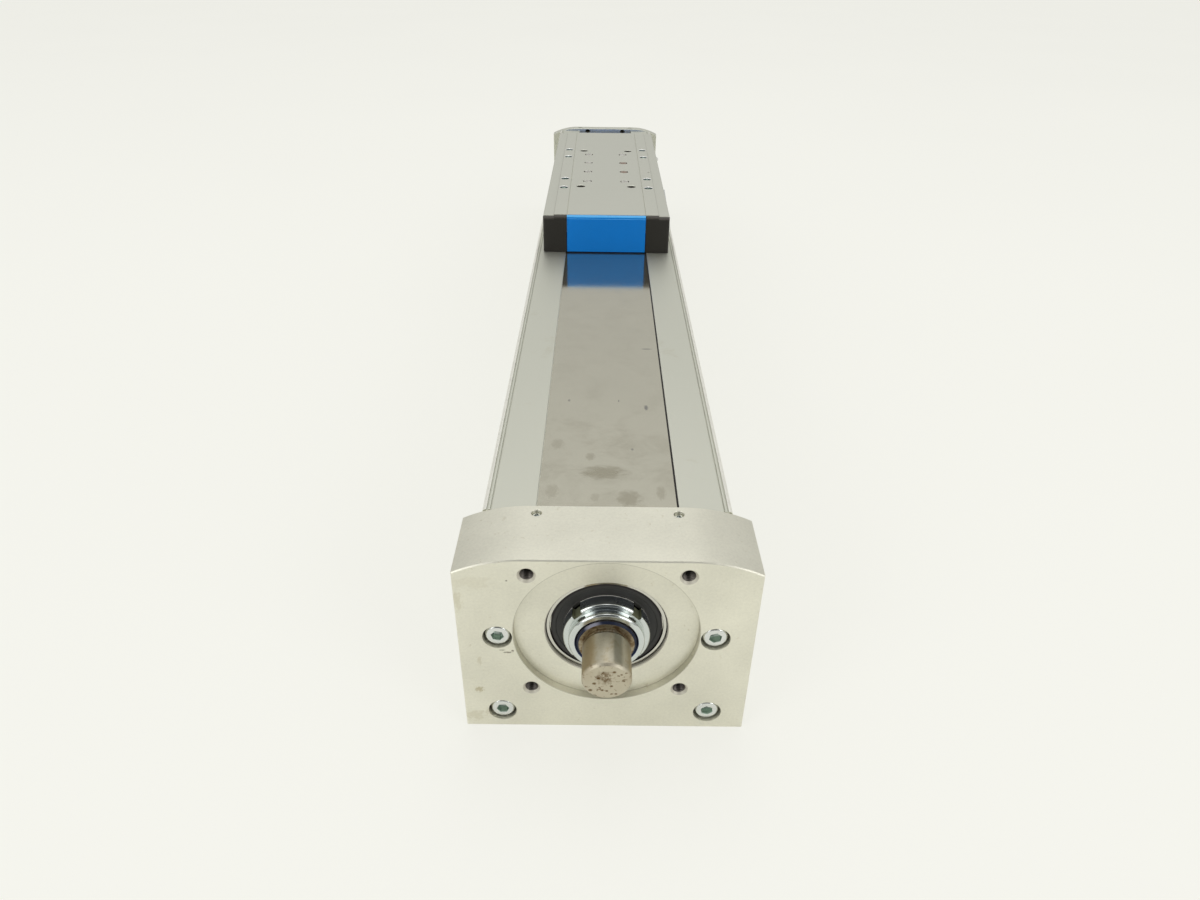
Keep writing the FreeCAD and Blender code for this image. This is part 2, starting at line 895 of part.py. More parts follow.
def drive_outer_ring(name, face, inward):
    """One outer ring of the bearing pair, with the seal seat in its outer face."""
    race = d.outer_race / 2
    seal = d.seal_diameter / 2
    outer = d.bearing_outer / 2
    far = face + inward * d.bearing_width
    seal_seat = face + inward * (d.seal_sink + d.seal_thickness)
    shoulder_start = face + inward * d.bearing_chamfer
    return turn(name, [
        (race, seal_seat),
        (seal, seal_seat),
        (seal, face),
        (outer - d.bearing_chamfer, face),
        (outer, shoulder_start),
        (outer, far),
        (race, far),
    ])


def drive_seal(name, face, inward):
    """The rubber seal that closes one side of the bearing pair."""
    lip = d.inner_race / 2 + d.seal_lip_gap
    rim = d.seal_diameter / 2 - d.seat_gap
    start = face + inward * d.seal_sink
    end = start + inward * d.seal_thickness
    return tube(name, lip, rim, start, end)


def ball_ring(name, inner_race, outer_race, start, width):
    """A row of balls in its cage, drawn as the ring that it fills between the races."""
    low = inner_race / 2 + d.joint_gap
    high = outer_race / 2 - d.joint_gap
    half = (high - low) / 2
    middle = start + width / 2
    return tube(name, low, high, middle - half, middle + half)


group("drive_bearing_outer_rings", [
    drive_outer_ring("outer_ring_front", bearing_front, 1),
    drive_outer_ring("outer_ring_rear", bearing_rear, -1),
])
group("drive_bearing_seals", [
    drive_seal("seal_front", bearing_front, 1),
    drive_seal("seal_rear", bearing_rear, -1),
])
inner_bore = d.bearing_inner / 2 + d.seat_gap
group("drive_bearing_inner_rings", [
    tube("inner_ring_front", inner_bore, d.inner_race / 2, bearing_front, bearing_middle),
    tube("inner_ring_rear", inner_bore, d.inner_race / 2, bearing_middle, bearing_rear),
])
tube("rear_bearing_outer_ring", d.rear_outer_race / 2, d.rear_bearing_outer / 2,
     rear_bearing_front, rear_bearing_rear)
tube("rear_bearing_inner_ring", d.rear_bearing_inner / 2 + d.seat_gap, d.rear_inner_race / 2,
     rear_bearing_front, rear_bearing_rear)
group("bearing_ball_rings", [
    ball_ring("front_balls", d.inner_race, d.outer_race, bearing_front, d.bearing_width),
    ball_ring("second_balls", d.inner_race, d.outer_race, bearing_middle, d.bearing_width),
    ball_ring("rear_balls", d.rear_inner_race, d.rear_outer_race, rear_bearing_front, d.rear_bearing_width),
])


# Ball screw and lock nut

journal = d.journal_diameter / 2
relief = d.relief_diameter / 2
thread = d.bearing_inner / 2
screw_radius = d.screw_diameter / 2
rear_journal = d.rear_bearing_inner / 2
screw_start = profile_start + d.screw_start_gap
screw_end = hub_front - d.screw_end_gap
screw_rear_end = rear_bearing_rear + d.screw_rear_stub
ring_start = rear_bearing_rear + d.fit_gap
ring_end = ring_start + d.ring_thickness
turn("ball_screw", [
    (0, -d.journal_projection),
    (journal - d.journal_chamfer, -d.journal_projection),
    (journal, d.journal_chamfer - d.journal_projection),
    (journal, -d.relief_start),
    (relief, -d.relief_start),
    (relief, -d.thread_projection),
    (thread - d.journal_chamfer, -d.thread_projection),
    (thread, d.journal_chamfer - d.thread_projection),
    (thread, bearing_rear),
    (d.screw_shoulder / 2, bearing_rear),
    (d.screw_shoulder / 2, screw_start),
    (screw_radius, screw_start),
    (screw_radius, screw_end),
    (rear_journal, screw_end),
    (rear_journal, ring_start),
    (d.ring_groove / 2, ring_start),
    (d.ring_groove / 2, ring_end),
    (rear_journal, ring_end),
    (rear_journal, screw_rear_end),
    (0, screw_rear_end),
])
tube("rear_retaining_ring", d.ring_groove / 2 + d.seat_gap, d.ring_diameter / 2, ring_start, ring_end)


def lock_nut():
    """The slotted nut that clamps the bearing pair against the screw's shoulder."""
    bore = thread + d.seat_gap
    rim = d.lock_nut_diameter / 2
    collar = d.lock_nut_collar / 2
    flange_front = bearing_front - d.lock_nut_flange
    front = bearing_front - d.lock_nut_width
    edge = d.journal_chamfer
    body = turn("lock_nut", [
        (bore, front + d.lock_nut_chamfer),
        (bore + d.lock_nut_chamfer, front),
        (collar - edge, front),
        (collar, front + edge),
        (collar, flange_front),
        (rim - edge, flange_front),
        (rim, flange_front + edge),
        (rim, bearing_front),
        (bore, bearing_front),
    ])
    doc.recompute()
    sketch = new_sketch(body, "XZ_Plane")
    half = d.lock_nut_slot / 2
    low = rim - d.lock_nut_slot_depth
    high = rim + overshoot
    draw_outline(sketch, [(-half, low), (half, low), (half, high), (-half, high)])
    notch = body.newObject("PartDesign::Pocket", "lock_nut_slot")
    notch.Profile = sketch
    notch.Type = "ThroughAll"
    notch.Midplane = True
    doc.recompute()
    pattern = body.newObject("PartDesign::PolarPattern", "lock_nut_slots")
    pattern.Originals = [notch]
    pattern.Axis = (origin_feature(body, "Y_Axis"), [""])
    pattern.Angle = 360
    pattern.Occurrences = LOCK_NUT_SLOTS
    body.Tip = pattern
    body.Placement.Rotation = FreeCAD.Rotation(FreeCAD.Vector(0, 1, 0), 45)


lock_nut()


# Ball nut

nut_bore = screw_radius + d.screw_clearance
nut_radius = d.nut_diameter / 2
nut_front = carrier_front - d.nut_flange_thickness
nut_rear = carrier_front + d.nut_length
wiper_radius = d.wiper_diameter / 2


def nut_screw_places():
    """The X and Z places of the screws through the nut's flange."""
    radius = d.nut_screw_circle / 2
    angles = [math.radians(angle) for angle in NUT_SCREW_ANGLES]
    return [(radius * math.cos(angle), radius * math.sin(angle)) for angle in angles]


def ball_nut():
    """The flanged nut, flattened at both sides, with a wiper seat in each end."""
    flange = d.nut_flange_diameter / 2
    blank = turn("ball_nut_blank", [
        (nut_bore, nut_front + d.wiper_width),
        (wiper_radius, nut_front + d.wiper_width),
        (wiper_radius, nut_front),
        (flange, nut_front),
        (flange, carrier_front),
        (nut_radius, carrier_front),
        (nut_radius, nut_rear),
        (wiper_radius, nut_rear),
        (wiper_radius, nut_rear - d.wiper_width),
        (nut_bore, nut_rear - d.wiper_width),
    ])
    tools = []
    for side in (LEFT, RIGHT):
        near = side * d.nut_flange_width / 2
        far = side * (flange + overshoot)
        low_x, high_x = (far, near) if side < 0 else (near, far)
        low = (low_x, nut_front - overshoot, -flange)
        high = (high_x, carrier_front + overshoot, flange)
        tools.append(block("nut_flat", low, high))
    for x, z in nut_screw_places():
        hole = d.nut_screw + 2 * d.fit_gap
        tools.append(cylinder("nut_hole", "y", hole, (x, nut_front, z), d.nut_flange_thickness))
    cut("ball_nut", blank, tools)


ball_nut()
group("nut_wipers", [
    tube("wiper_front", nut_bore, wiper_radius - d.seat_gap, nut_front, nut_front + d.wiper_width),
    tube("wiper_rear", nut_bore, wiper_radius - d.seat_gap, nut_rear - d.wiper_width, nut_rear),
])
group("nut_screws", [
    cap_screw("nut_screw", "y", 1, (x, nut_front - d.nut_screw_head_height, z), d.nut_screw_head,
              d.nut_screw_head_height, d.nut_screw, d.nut_flange_thickness + d.nut_screw_length)
    for x, z in nut_screw_places()
])


# Ball guides


def rail_outline(middle):
    """The waisted section of one guide rail."""
    half = d.rail_width / 2
    waist = d.rail_waist / 2
    foot = cavity_floor + d.rail_foot
    crown = rail_top - d.rail_crown
    right = [
        (half, cavity_floor),
        (half, foot),
        (waist, foot + d.rail_slope),
        (waist, crown - d.rail_slope),
        (half, crown),
        (half, rail_top),
    ]
    left = [(-x, z) for x, z in reversed(right)]
    return [(middle + x, z) for x, z in right + left]


def carriage_outline(middle, inset):
    """The section of a carriage, which reaches round the head of its rail."""
    outer = d.carriage_width / 2 - inset
    head = d.rail_width / 2 + d.rail_clearance
    waist = d.rail_waist / 2 + d.rail_clearance
    bottom = cavity_floor + d.carriage_lift + inset
    crown = rail_top - d.rail_crown
    foot = cavity_floor + d.rail_foot + d.rail_slope
    roof = rail_top + d.rail_clearance
    right = [
        (head, bottom),
        (head, foot - d.rail_slope),
        (waist, foot),
        (waist, crown - d.rail_slope),
        (head, crown),
        (head, roof),
    ]
    left = [(-x, z) for x, z in reversed(right)]
    top = carriage_top - inset
    outside = [(-outer, bottom), (-outer, top), (outer, top), (outer, bottom)]
    return [(middle + x, z) for x, z in right + left + outside]


rails = []
carriages = []
carriage_caps = []
for side in (LEFT, RIGHT):
    middle = side * d.rail_spacing / 2
    rail_start = profile_start + d.rail_end_gap
    rails.append(extrude_y("rail", rail_outline(middle), rail_start, profile_end - d.rail_end_gap))
    for end in (FRONT, REAR):
        centre = d.slide_centre + end * d.carriage_pitch / 2
        front = centre - d.carriage_length / 2
        rear = centre + d.carriage_length / 2
        carriages.append(extrude_y("carriage", carriage_outline(middle, as_size(0)), front, rear))
        trimmed = carriage_outline(middle, d.carriage_cap_inset)
        cap = d.carriage_cap_length
        carriage_caps.append(extrude_y("carriage_cap", trimmed, front - cap, front))
        carriage_caps.append(extrude_y("carriage_cap", trimmed, rear, rear + cap))
group("guide_rails", rails)
group("guide_carriages", carriages)
group("carriage_end_caps", carriage_caps)


# Carrier that joins nut, carriages and saddle

saddle_screw_places = [
    (side * d.saddle_screw_spacing / 2, d.slide_centre + step * d.saddle_screw_pitch)
    for side in (LEFT, RIGHT)
    for step in (-1, 0, 1)
]
saddle_screw_seat = saddle_top_of_floor - d.saddle_screw_head_height
saddle_screw_tip = saddle_screw_seat - d.saddle_screw_length


def carrier():
    """The inner block with the nut seat and the neck that reaches through the opening."""
    half = d.carrier_width / 2
    neck = d.neck_width / 2
    body = block("carrier_block", (-half, carrier_front, carriage_top), (half, carrier_rear, carrier_top))
    neck_front = d.slide_centre - d.neck_length / 2
    neck_rear = d.slide_centre + d.neck_length / 2
    low = (-neck, neck_front, carrier_top - overshoot)
    riser = block("carrier_neck", low, (neck, neck_rear, slide_bottom))
    seat_start = (0, carrier_front - overshoot, 0)
    seat = d.nut_diameter + 2 * d.seat_gap
    tools = [cylinder("nut_seat", "y", seat, seat_start, d.nut_length + overshoot)]
    passage = 2 * (nut_bore + d.screw_clearance)
    tools.append(cylinder("screw_passage", "y", passage, seat_start, d.carrier_length + 2 * overshoot))
    hole = d.nut_screw + 2 * d.fit_gap
    for x, z in nut_screw_places():
        tools.append(cylinder("nut_thread", "y", hole, (x, carrier_front, z), d.nut_screw_length))
    bore = d.saddle_screw + 2 * d.fit_gap
    for x, y in saddle_screw_places:
        depth = slide_bottom - saddle_screw_tip
        tools.append(cylinder("saddle_thread", "z", bore, (x, y, saddle_screw_tip), depth))
    cut("carrier", join("carrier_blank", [body, riser]), tools)


carrier()


# Slide: saddle, plate and screws

cheek_inner = half_slide - d.saddle_wall
cheek_front = from_end(FRONT, d.end_cap_depth)
cheek_rear = from_end(REAR, d.end_cap_depth)
plate_screw_places = [
    (side * d.plate_screw_spacing / 2, d.slide_centre + end * pitch / 2)
    for side in (LEFT, RIGHT)
    for end in (FRONT, REAR)
    for pitch in (d.plate_screw_inner, d.plate_screw_outer)
]
plate_screw_seat = slide_top - d.plate_screw_recess
plate_screw_tip = plate_bottom - d.plate_screw_grip
lug_screw_places = [
    from_end(FRONT, d.lug_hole_first + step * d.lug_hole_pitch) for step in (0, 1)
]
nipple_place = from_end(REAR, d.nipple_inset)
lug_low = slide_bottom + d.lug_raise
lug_high = lug_low + d.lug_height
lug_front_high = lug_low + d.lug_front_height
lug_middle = slide_bottom + d.lug_screw_raise
lug_bore = d.lug_screw + 2 * d.fit_gap


def saddle():
    """The channel that carries the plate and lets the band pass between its cheeks."""
    outline = [
        (-half_slide, slide_bottom),
        (half_slide, slide_bottom),
        (half_slide, plate_bottom),
        (cheek_inner, plate_bottom),
        (cheek_inner, saddle_top_of_floor),
        (-cheek_inner, saddle_top_of_floor),
        (-cheek_inner, plate_bottom),
        (-half_slide, plate_bottom),
    ]
    channel = extrude_y("saddle_channel", outline, cheek_front, cheek_rear)
    tools = []
    floor_front = d.slide_centre - d.neck_length / 2
    floor_rear = d.slide_centre + d.neck_length / 2
    for start, end in ((cheek_front - overshoot, floor_front), (floor_rear, cheek_rear + overshoot)):
        low = (-cheek_inner, start, slide_bottom - overshoot)
        high = (cheek_inner, end, saddle_top_of_floor + overshoot)
        tools.append(block("saddle_end", low, high))
    head_room = d.saddle_screw_head + d.saddle_head_play
    bore = d.saddle_screw + 2 * d.fit_gap
    for x, y in saddle_screw_places:
        start = (x, y, slide_bottom - overshoot)
        tools.append(cylinder("saddle_hole", "z", bore, start, d.saddle_floor + 2 * overshoot))
        recess = (x, y, saddle_screw_seat)
        tools.append(cylinder("saddle_recess", "z", head_room, recess, d.saddle_floor))
    plate_bore = d.plate_screw + 2 * d.fit_gap
    for x, y in plate_screw_places:
        start = (x, y, plate_screw_tip)
        tools.append(cylinder("plate_thread", "z", plate_bore, start, d.plate_screw_grip + overshoot))
    nipple_start = (half_slide - d.nipple_thread_length, nipple_place, nipple_height)
    nipple_bore = d.nipple_thread + 2 * d.fit_gap
    nipple_depth = d.nipple_thread_length + overshoot
    tools.append(cylinder("nipple_seat", "x", nipple_bore, nipple_start, nipple_depth))
    for y in lug_screw_places:
        start = (half_slide - d.lug_screw_length, y, lug_middle)
        tools.append(cylinder("lug_thread", "x", lug_bore, start, d.lug_screw_length + overshoot))
    cut("saddle", channel, tools)


def plate_groove(middle):
    """A shallow line along the plate's top."""
    half = d.plate_groove_width / 2
    return [
        (middle + half, slide_top),
        (middle, slide_top - d.plate_groove_depth),
        (middle - half, slide_top),
    ]


plate_step_place = half_slide - d.plate_step_inset


def slide_plate():
    """The mounting plate, with its hole pattern."""
    edge = slide_top - d.plate_step
    right = [
        (half_slide, plate_bottom),
        (half_slide, edge - d.plate_chamfer),
        (half_slide - d.plate_chamfer, edge),
        (plate_step_place, edge),
        (plate_step_place, slide_top),
    ] + plate_groove(d.deflector_width / 2)
    front = from_end(FRONT, d.lip_thickness + d.fit_gap)
    rear = from_end(REAR, d.lip_thickness + d.fit_gap)
    blank = extrude_y("slide_plate_blank", mirrored(right), front, rear)
    tools = []
    head_room = d.plate_screw_head + d.plate_head_play
    bore = d.plate_screw + 2 * d.fit_gap
    for x, y in plate_screw_places:
        start = (x, y, plate_bottom - overshoot)
        tools.append(cylinder("plate_hole", "z", bore, start, d.plate_thickness + overshoot))
        recess = (x, y, plate_screw_seat)
        tools.append(cylinder("plate_recess", "z", head_room, recess, d.plate_thickness))
    flare = (d.load_hole_mouth - d.load_hole) / 2
    for side in (LEFT, RIGHT):
        for end in (FRONT, REAR):
            x = side * d.load_hole_spacing_x / 2
            y = d.slide_centre + end * d.load_hole_spacing_y / 2
            start = (x, y, slide_top - d.load_hole_depth)
            tools.append(cylinder("load_hole", "z", d.load_hole, start, d.load_hole_depth + overshoot))
            mouth = (x, y, slide_top - flare)
            tools.append(cone("load_mouth", "z", d.load_hole, d.load_hole_mouth, mouth, flare))
        for step in (-3, -1, 1, 3):
            x = side * d.centring_pitch / 2
            y = d.slide_centre + step * d.centring_pitch / 2
            start = (x, y, slide_top - d.centring_depth)
            tools.append(cylinder("centring_hole", "z", d.centring_hole, start, d.plate_thickness))
            deep = (x, y, slide_top - d.centring_thread_depth)
            tools.append(cylinder("centring_thread", "z", d.centring_thread, deep, d.plate_thickness))
    start = (half_slide - d.pin_hole_inset, d.slide_centre - d.pin_hole_y, slide_top - d.pin_hole_depth)
    tools.append(cylinder("pin_hole", "z", d.pin_hole, start, d.plate_thickness))
    cut("slide_plate", blank, tools)


saddle()
slide_plate()
group("plate_screws", [
    cap_screw("plate_screw_one", "z", -1, (x, y, plate_screw_seat + d.plate_screw_head_height),
              d.plate_screw_head, d.plate_screw_head_height, d.plate_screw,
              plate_screw_seat - plate_screw_tip)
    for x, y in plate_screw_places
])
group("saddle_screws", [
    cap_screw("saddle_screw_one", "z", -1, (x, y, saddle_top_of_floor), d.saddle_screw_head,
              d.saddle_screw_head_height, d.saddle_screw, d.saddle_screw_length)
    for x, y in saddle_screw_places
])


# Cover band: two flat runs and the raised loop inside the slide

band_left = -half_band - d.band_shift
band_right = half_band - d.band_shift
half_tongue = d.tongue_width / 2
half_thick = d.band_thickness / 2
loop_low = seat_level + half_thick + d.joint_gap
loop_high = loop_low + d.band_lift
loop_radius = (d.band_ramp * d.band_ramp + d.band_lift * d.band_lift) / (4 * d.band_lift)
loop_sine = d.band_ramp / (2 * loop_radius)
loop_cosine = 1 - d.band_lift / (2 * loop_radius)


def band_run(label, end, tongue_end, face):
    """A flat run of the band from a cover's clamp to where the slide lifts it."""
    lifted = from_end(end, d.band_entry - d.joint_gap)
    outline = [
        (-half_tongue, tongue_end),
        (half_tongue, tongue_end),
        (half_tongue, face),
        (band_right, face),
        (band_right, lifted),
        (band_left, lifted),
        (band_left, face),
        (-half_tongue, face),
    ]
    extrude_z(label, outline, seat_level, band_top)


band_run("cover_band_front", FRONT, profile_start - d.tongue_length, profile_start)
band_run("cover_band_rear", REAR, profile_end + d.tongue_length, profile_end)


def ramp_corner(end, inset, level, along, up):
    """A point of the band's ramp, offset square to the band at its steepest place."""
    return (from_end(end, inset + along), level + up)


def cover_band_loop():
    """The stretch of band that two equal arcs at each end lift over the saddle."""
    inner = loop_radius - half_thick
    outer = loop_radius + half_thick
    middle = d.band_entry + d.band_ramp / 2
    top = d.band_entry + d.band_ramp
    level = (loop_low + loop_high) / 2
    across = half_thick * loop_sine
    up = half_thick * loop_cosine
    outline = [
        (from_end(FRONT, d.band_entry), loop_low - half_thick, outer, 1),
        ramp_corner(FRONT, middle, level, across, -up) + (inner, -1),
        (from_end(FRONT, top), loop_high - half_thick),
        (from_end(REAR, top), loop_high - half_thick, inner, -1),
        ramp_corner(REAR, middle, level, across, -up) + (outer, 1),
        (from_end(REAR, d.band_entry), loop_low - half_thick),
        (from_end(REAR, d.band_entry), loop_low + half_thick, inner, -1),
        ramp_corner(REAR, middle, level, -across, up) + (outer, 1),
        (from_end(REAR, top), loop_high + half_thick),
        (from_end(FRONT, top), loop_high + half_thick, outer, 1),
        ramp_corner(FRONT, middle, level, -across, up) + (inner, -1),
        (from_end(FRONT, d.band_entry), loop_low + half_thick),
    ]
    extrude_x("cover_band_loop", outline, band_left, band_right)


cover_band_loop()


def band_lift_pad():
    """The plastic pad on the saddle's floor over which the raised band slides."""
    top = loop_high - half_thick
    half = d.pad_width / 2
    inset = d.band_entry + d.band_ramp + d.pad_setback
    front = from_end(FRONT, inset)
    rear = from_end(REAR, inset)
    curve = d.pad_round
    outline = [
        (front, saddle_top_of_floor),
        (rear, saddle_top_of_floor),
        (rear, top - curve, curve, 1),
        (rear - curve, top),
        (front + curve, top, curve, 1),
        (front, top - curve),
    ]
    extrude_x("band_lift_pad", outline, -half, half)


band_lift_pad()


# End pieces of the slide

lip_start = d.lip_thickness - d.lip_radius
under_plate = plate_bottom - d.fit_gap


def turned_side(end, side):
    """An arc keeps its shape but turns the other way round at the rear end."""
    return side if end == FRONT else -side


def lip_corners(end, top):
    """The front face and rounded top edge that every end piece shares."""
    return [
        (from_end(end, d.lip_thickness), under_plate),
        (from_end(end, d.lip_thickness), top, d.lip_radius, turned_side(end, 1)),
        (from_end(end, lip_start), top - d.lip_radius),
        (from_end(end, 0), top - d.lip_radius),
        (from_end(end, 0), slide_bottom),
    ]


def deflector(label, end):
    """The middle end piece, with a wiper groove and a curved shoe above the band."""
    shoe_radius = loop_low + loop_radius - slide_bottom
    rise_run = d.shoe_length - d.band_entry
    rise = loop_low + loop_radius - root(shoe_radius * shoe_radius - rise_run * rise_run)
    strip_end = d.strip_place + d.strip_width
    groove_top = slide_bottom + d.strip_height
    curve = turned_side(end, 1)
    outline = lip_corners(end, lip_top) + [
        (from_end(end, d.strip_place), slide_bottom),
        (from_end(end, d.strip_place), groove_top),
        (from_end(end, strip_end), groove_top),
        (from_end(end, strip_end), slide_bottom),
        (from_end(end, d.band_entry), slide_bottom, shoe_radius, curve),
        (from_end(end, d.shoe_length), rise),
        (from_end(end, d.shoe_length), under_plate),
    ]
    half = d.deflector_width / 2
    extrude_x(label, outline, -half, half)


def end_cap(label, end, side):
    """A corner cap that covers the end of one cheek and follows the step of the plate."""
    depth = d.end_cap_depth - d.fit_gap
    inner = d.deflector_width / 2 + d.joint_gap
    pieces = []
    for word, near, far, top in (
        ("inner", inner, plate_step_place, lip_top),
        ("outer", plate_step_place, half_slide, lip_top - d.plate_step),
    ):
        outline = lip_corners(end, top) + [
            (from_end(end, depth), slide_bottom),
            (from_end(end, depth), under_plate),
        ]
        start, stop = (near, far) if side > 0 else (-far, -near)
        pieces.append(extrude_x(f"{label}_{word}", outline, start, stop))
    doc.recompute()
    body = pieces[-1]
    tip = body.Tip
    face_x = (stop - start).value if side > 0 else 0.0
    face_y = from_end(end, 0).value
    corner = [
        f"Edge{number}"
        for number, edge in enumerate(tip.Shape.Edges, start=1)
        if edge.BoundBox.ZLength > 1
        and abs(edge.BoundBox.XMin - face_x) < 1e-6
        and abs(edge.BoundBox.XMax - face_x) < 1e-6
        and abs(edge.BoundBox.YMin - face_y) < 1e-6
        and abs(edge.BoundBox.YMax - face_y) < 1e-6
    ]
    rounding = body.newObject("PartDesign::Fillet", label + "_corner")
    rounding.Base = (tip, corner)
    bind(rounding, "Radius", d.cap_corner)
    join(label, pieces)


strips = []
for end, word in ((FRONT, "front"), (REAR, "rear")):
    deflector(f"deflector_{word}", end)
    end_cap(f"end_cap_{word}_left", end, LEFT)
    end_cap(f"end_cap_{word}_right", end, RIGHT)
    near = from_end(end, d.strip_place + d.fit_gap)
    far = from_end(end, d.strip_place + d.strip_width - d.fit_gap)
    low_y, high_y = (near, far) if end == FRONT else (far, near)
    half = d.strip_length / 2
    strip_bottom = band_top + d.strip_clearance
    strips.append(block("wiper_strip", (-half, low_y, strip_bottom),
                        (half, high_y, slide_bottom + d.strip_height)))
group("band_wipers", strips)


# Buffers, switch lug and grease nipple


def buffers(label, start):
    """The two rubber stops at one end of the housing."""
    level = base + d.buffer_height
    group(label, [
        cylinder(label + "_one", "y", d.buffer_diameter, (side * d.buffer_spacing / 2, start, level),
                 d.buffer_length)
        for side in (LEFT, RIGHT)
    ])


buffers("drive_buffers", profile_start)
buffers("rear_buffers", profile_end - d.buffer_length)


def switch_lug():
    """The plate on the right flank that trips a sensor with its sloping top, and its two screws."""
    outer = half_slide + d.lug_thickness
    front = from_end(FRONT, d.lug_start)
    rear = from_end(FRONT, d.lug_start + d.lug_length)
    plate = extrude_x("switch_lug_blank", [
        (front, lug_low),
        (rear, lug_low),
        (rear, lug_high),
        (front, lug_front_high),
    ], half_slide, outer)
    holes = []
    screws = []
    for y in lug_screw_places:
        start = (half_slide - overshoot, y, lug_middle)
        holes.append(cylinder("lug_hole", "x", lug_bore, start, d.lug_thickness + 2 * overshoot))
        head_start = (outer + d.lug_screw_head_height, y, lug_middle)
        length = d.lug_thickness + d.lug_screw_length
        screws.append(cap_screw("lug_screw_one", "x", -1, head_start, d.lug_screw_head,
                                d.lug_screw_head_height, d.lug_screw, length))
    cut("switch_lug", plate, holes)
    group("switch_lug_screws", screws)


switch_lug()


def grease_nipple():
    """The lubrication nipple in the right cheek of the saddle."""
    collar_end = d.nipple_collar_length
    neck_end = collar_end + d.nipple_neck_length
    head_end = neck_end + d.nipple_head_length
    head = d.nipple_head / 2
    body = turn("grease_nipple", [
        (-d.nipple_thread_length, 0),
        (head_end, 0),
        (head_end, head / 2),
        (neck_end + d.nipple_head_length / 2, head),
        (neck_end, d.nipple_neck / 2),
        (collar_end, d.nipple_neck / 2),
        (collar_end, d.nipple_collar / 2),
        (0, d.nipple_collar / 2),
        (0, d.nipple_thread / 2),
        (-d.nipple_thread_length, d.nipple_thread / 2),
    ], axis="X_Axis")
    place(body, half_slide, nipple_place, nipple_height)


grease_nipple()

NODES = [
    "housing_profile", "drive_cover", "rear_cover", "drive_cover_screws", "rear_cover_screws",
    "band_magnets", "drive_band_clamp", "rear_band_clamp", "drive_band_clamp_screws",
    "rear_band_clamp_screws", "drive_bearing_outer_rings", "drive_bearing_seals",
    "drive_bearing_inner_rings", "rear_bearing_outer_ring", "rear_bearing_inner_ring",
    "bearing_ball_rings", "ball_screw", "rear_retaining_ring", "lock_nut", "ball_nut", "nut_wipers",
    "nut_screws", "guide_rails", "guide_carriages", "carriage_end_caps", "carrier", "saddle",
    "slide_plate", "plate_screws", "saddle_screws", "cover_band_front", "cover_band_rear",
    "cover_band_loop", "band_lift_pad", "deflector_front", "deflector_rear",
    "end_cap_front_left", "end_cap_front_right", "end_cap_rear_left", "end_cap_rear_right",
    "band_wipers", "drive_buffers", "rear_buffers", "switch_lug", "switch_lug_screws",
    "grease_nipple",
]

doc.recompute()
for item in doc.Objects:
    faults = {"Invalid", "Error"} & set(item.State)
    if faults:
        raise RuntimeError(f"{item.Label} did not recompute: {item.State}")
for label in NODES:
    shape = doc.getObjectsByLabel(label)[0].Shape
    if shape.isNull() or not shape.isValid():
        raise RuntimeError(f"{label} has no valid shape")
os.makedirs("parts", exist_ok=True)
for label in NODES:
    shape = doc.getObjectsByLabel(label)[0].Shape
    shape.exportStep(f"parts/{label}.step")
    print(f"{label}: {len(shape.Solids)} solids, {shape.Volume / 1000:.2f} cubic cm")
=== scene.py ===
# %% [markdown]
# A ball screw linear axis, dressed for a picture.
# The solids of the axis come packed as a frame: a long aluminium housing, a slide with a drilled plate, and
# a screw that drives it. They have the right size and joints, but bare surfaces. This lesson adds what the
# eye looks for in machine parts: satin and mirror metal, broken edges, sockets, threads, stains and rust.

import json
import math

import bmesh
import bpy
from mathutils import Matrix, Vector


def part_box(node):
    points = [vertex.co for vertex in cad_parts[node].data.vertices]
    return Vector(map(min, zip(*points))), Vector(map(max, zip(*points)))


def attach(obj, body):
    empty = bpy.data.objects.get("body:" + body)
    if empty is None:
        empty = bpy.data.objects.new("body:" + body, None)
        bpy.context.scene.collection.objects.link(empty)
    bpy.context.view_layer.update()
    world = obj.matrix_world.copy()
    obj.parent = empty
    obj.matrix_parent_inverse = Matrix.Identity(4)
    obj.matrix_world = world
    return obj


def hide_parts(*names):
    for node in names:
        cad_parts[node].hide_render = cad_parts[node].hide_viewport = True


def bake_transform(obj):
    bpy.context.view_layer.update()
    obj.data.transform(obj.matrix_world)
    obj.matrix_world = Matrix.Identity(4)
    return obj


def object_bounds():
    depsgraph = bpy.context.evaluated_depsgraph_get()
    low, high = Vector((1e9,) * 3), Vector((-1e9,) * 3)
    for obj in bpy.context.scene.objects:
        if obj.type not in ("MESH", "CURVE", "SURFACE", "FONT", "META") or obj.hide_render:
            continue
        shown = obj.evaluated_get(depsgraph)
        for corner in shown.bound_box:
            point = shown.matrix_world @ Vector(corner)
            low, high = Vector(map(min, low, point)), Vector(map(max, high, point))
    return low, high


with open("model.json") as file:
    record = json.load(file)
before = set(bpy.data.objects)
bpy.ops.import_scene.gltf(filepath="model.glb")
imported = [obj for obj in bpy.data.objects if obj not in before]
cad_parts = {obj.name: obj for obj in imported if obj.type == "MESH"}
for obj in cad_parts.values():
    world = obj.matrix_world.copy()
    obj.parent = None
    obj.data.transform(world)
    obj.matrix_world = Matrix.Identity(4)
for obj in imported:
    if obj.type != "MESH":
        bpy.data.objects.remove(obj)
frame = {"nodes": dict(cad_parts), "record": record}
cad_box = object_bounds()
nodes = frame["nodes"]
record = frame["record"]
slot_of = {row["node"]: row["material_slot"] for row in record["subparts"]}
body_of = {node: body for body, members in record["behaviour"]["bodies"].items() for node in members}
MM = 0.001

# %% [markdown]
# The camera looks along the axis from the drive end and down. Its place and turn were worked out from the
# corners and circles of the drive cover, whose sizes are known. A camera could be turned by Euler angles,
# but writing its three axes into a matrix keeps the small roll easy to read.

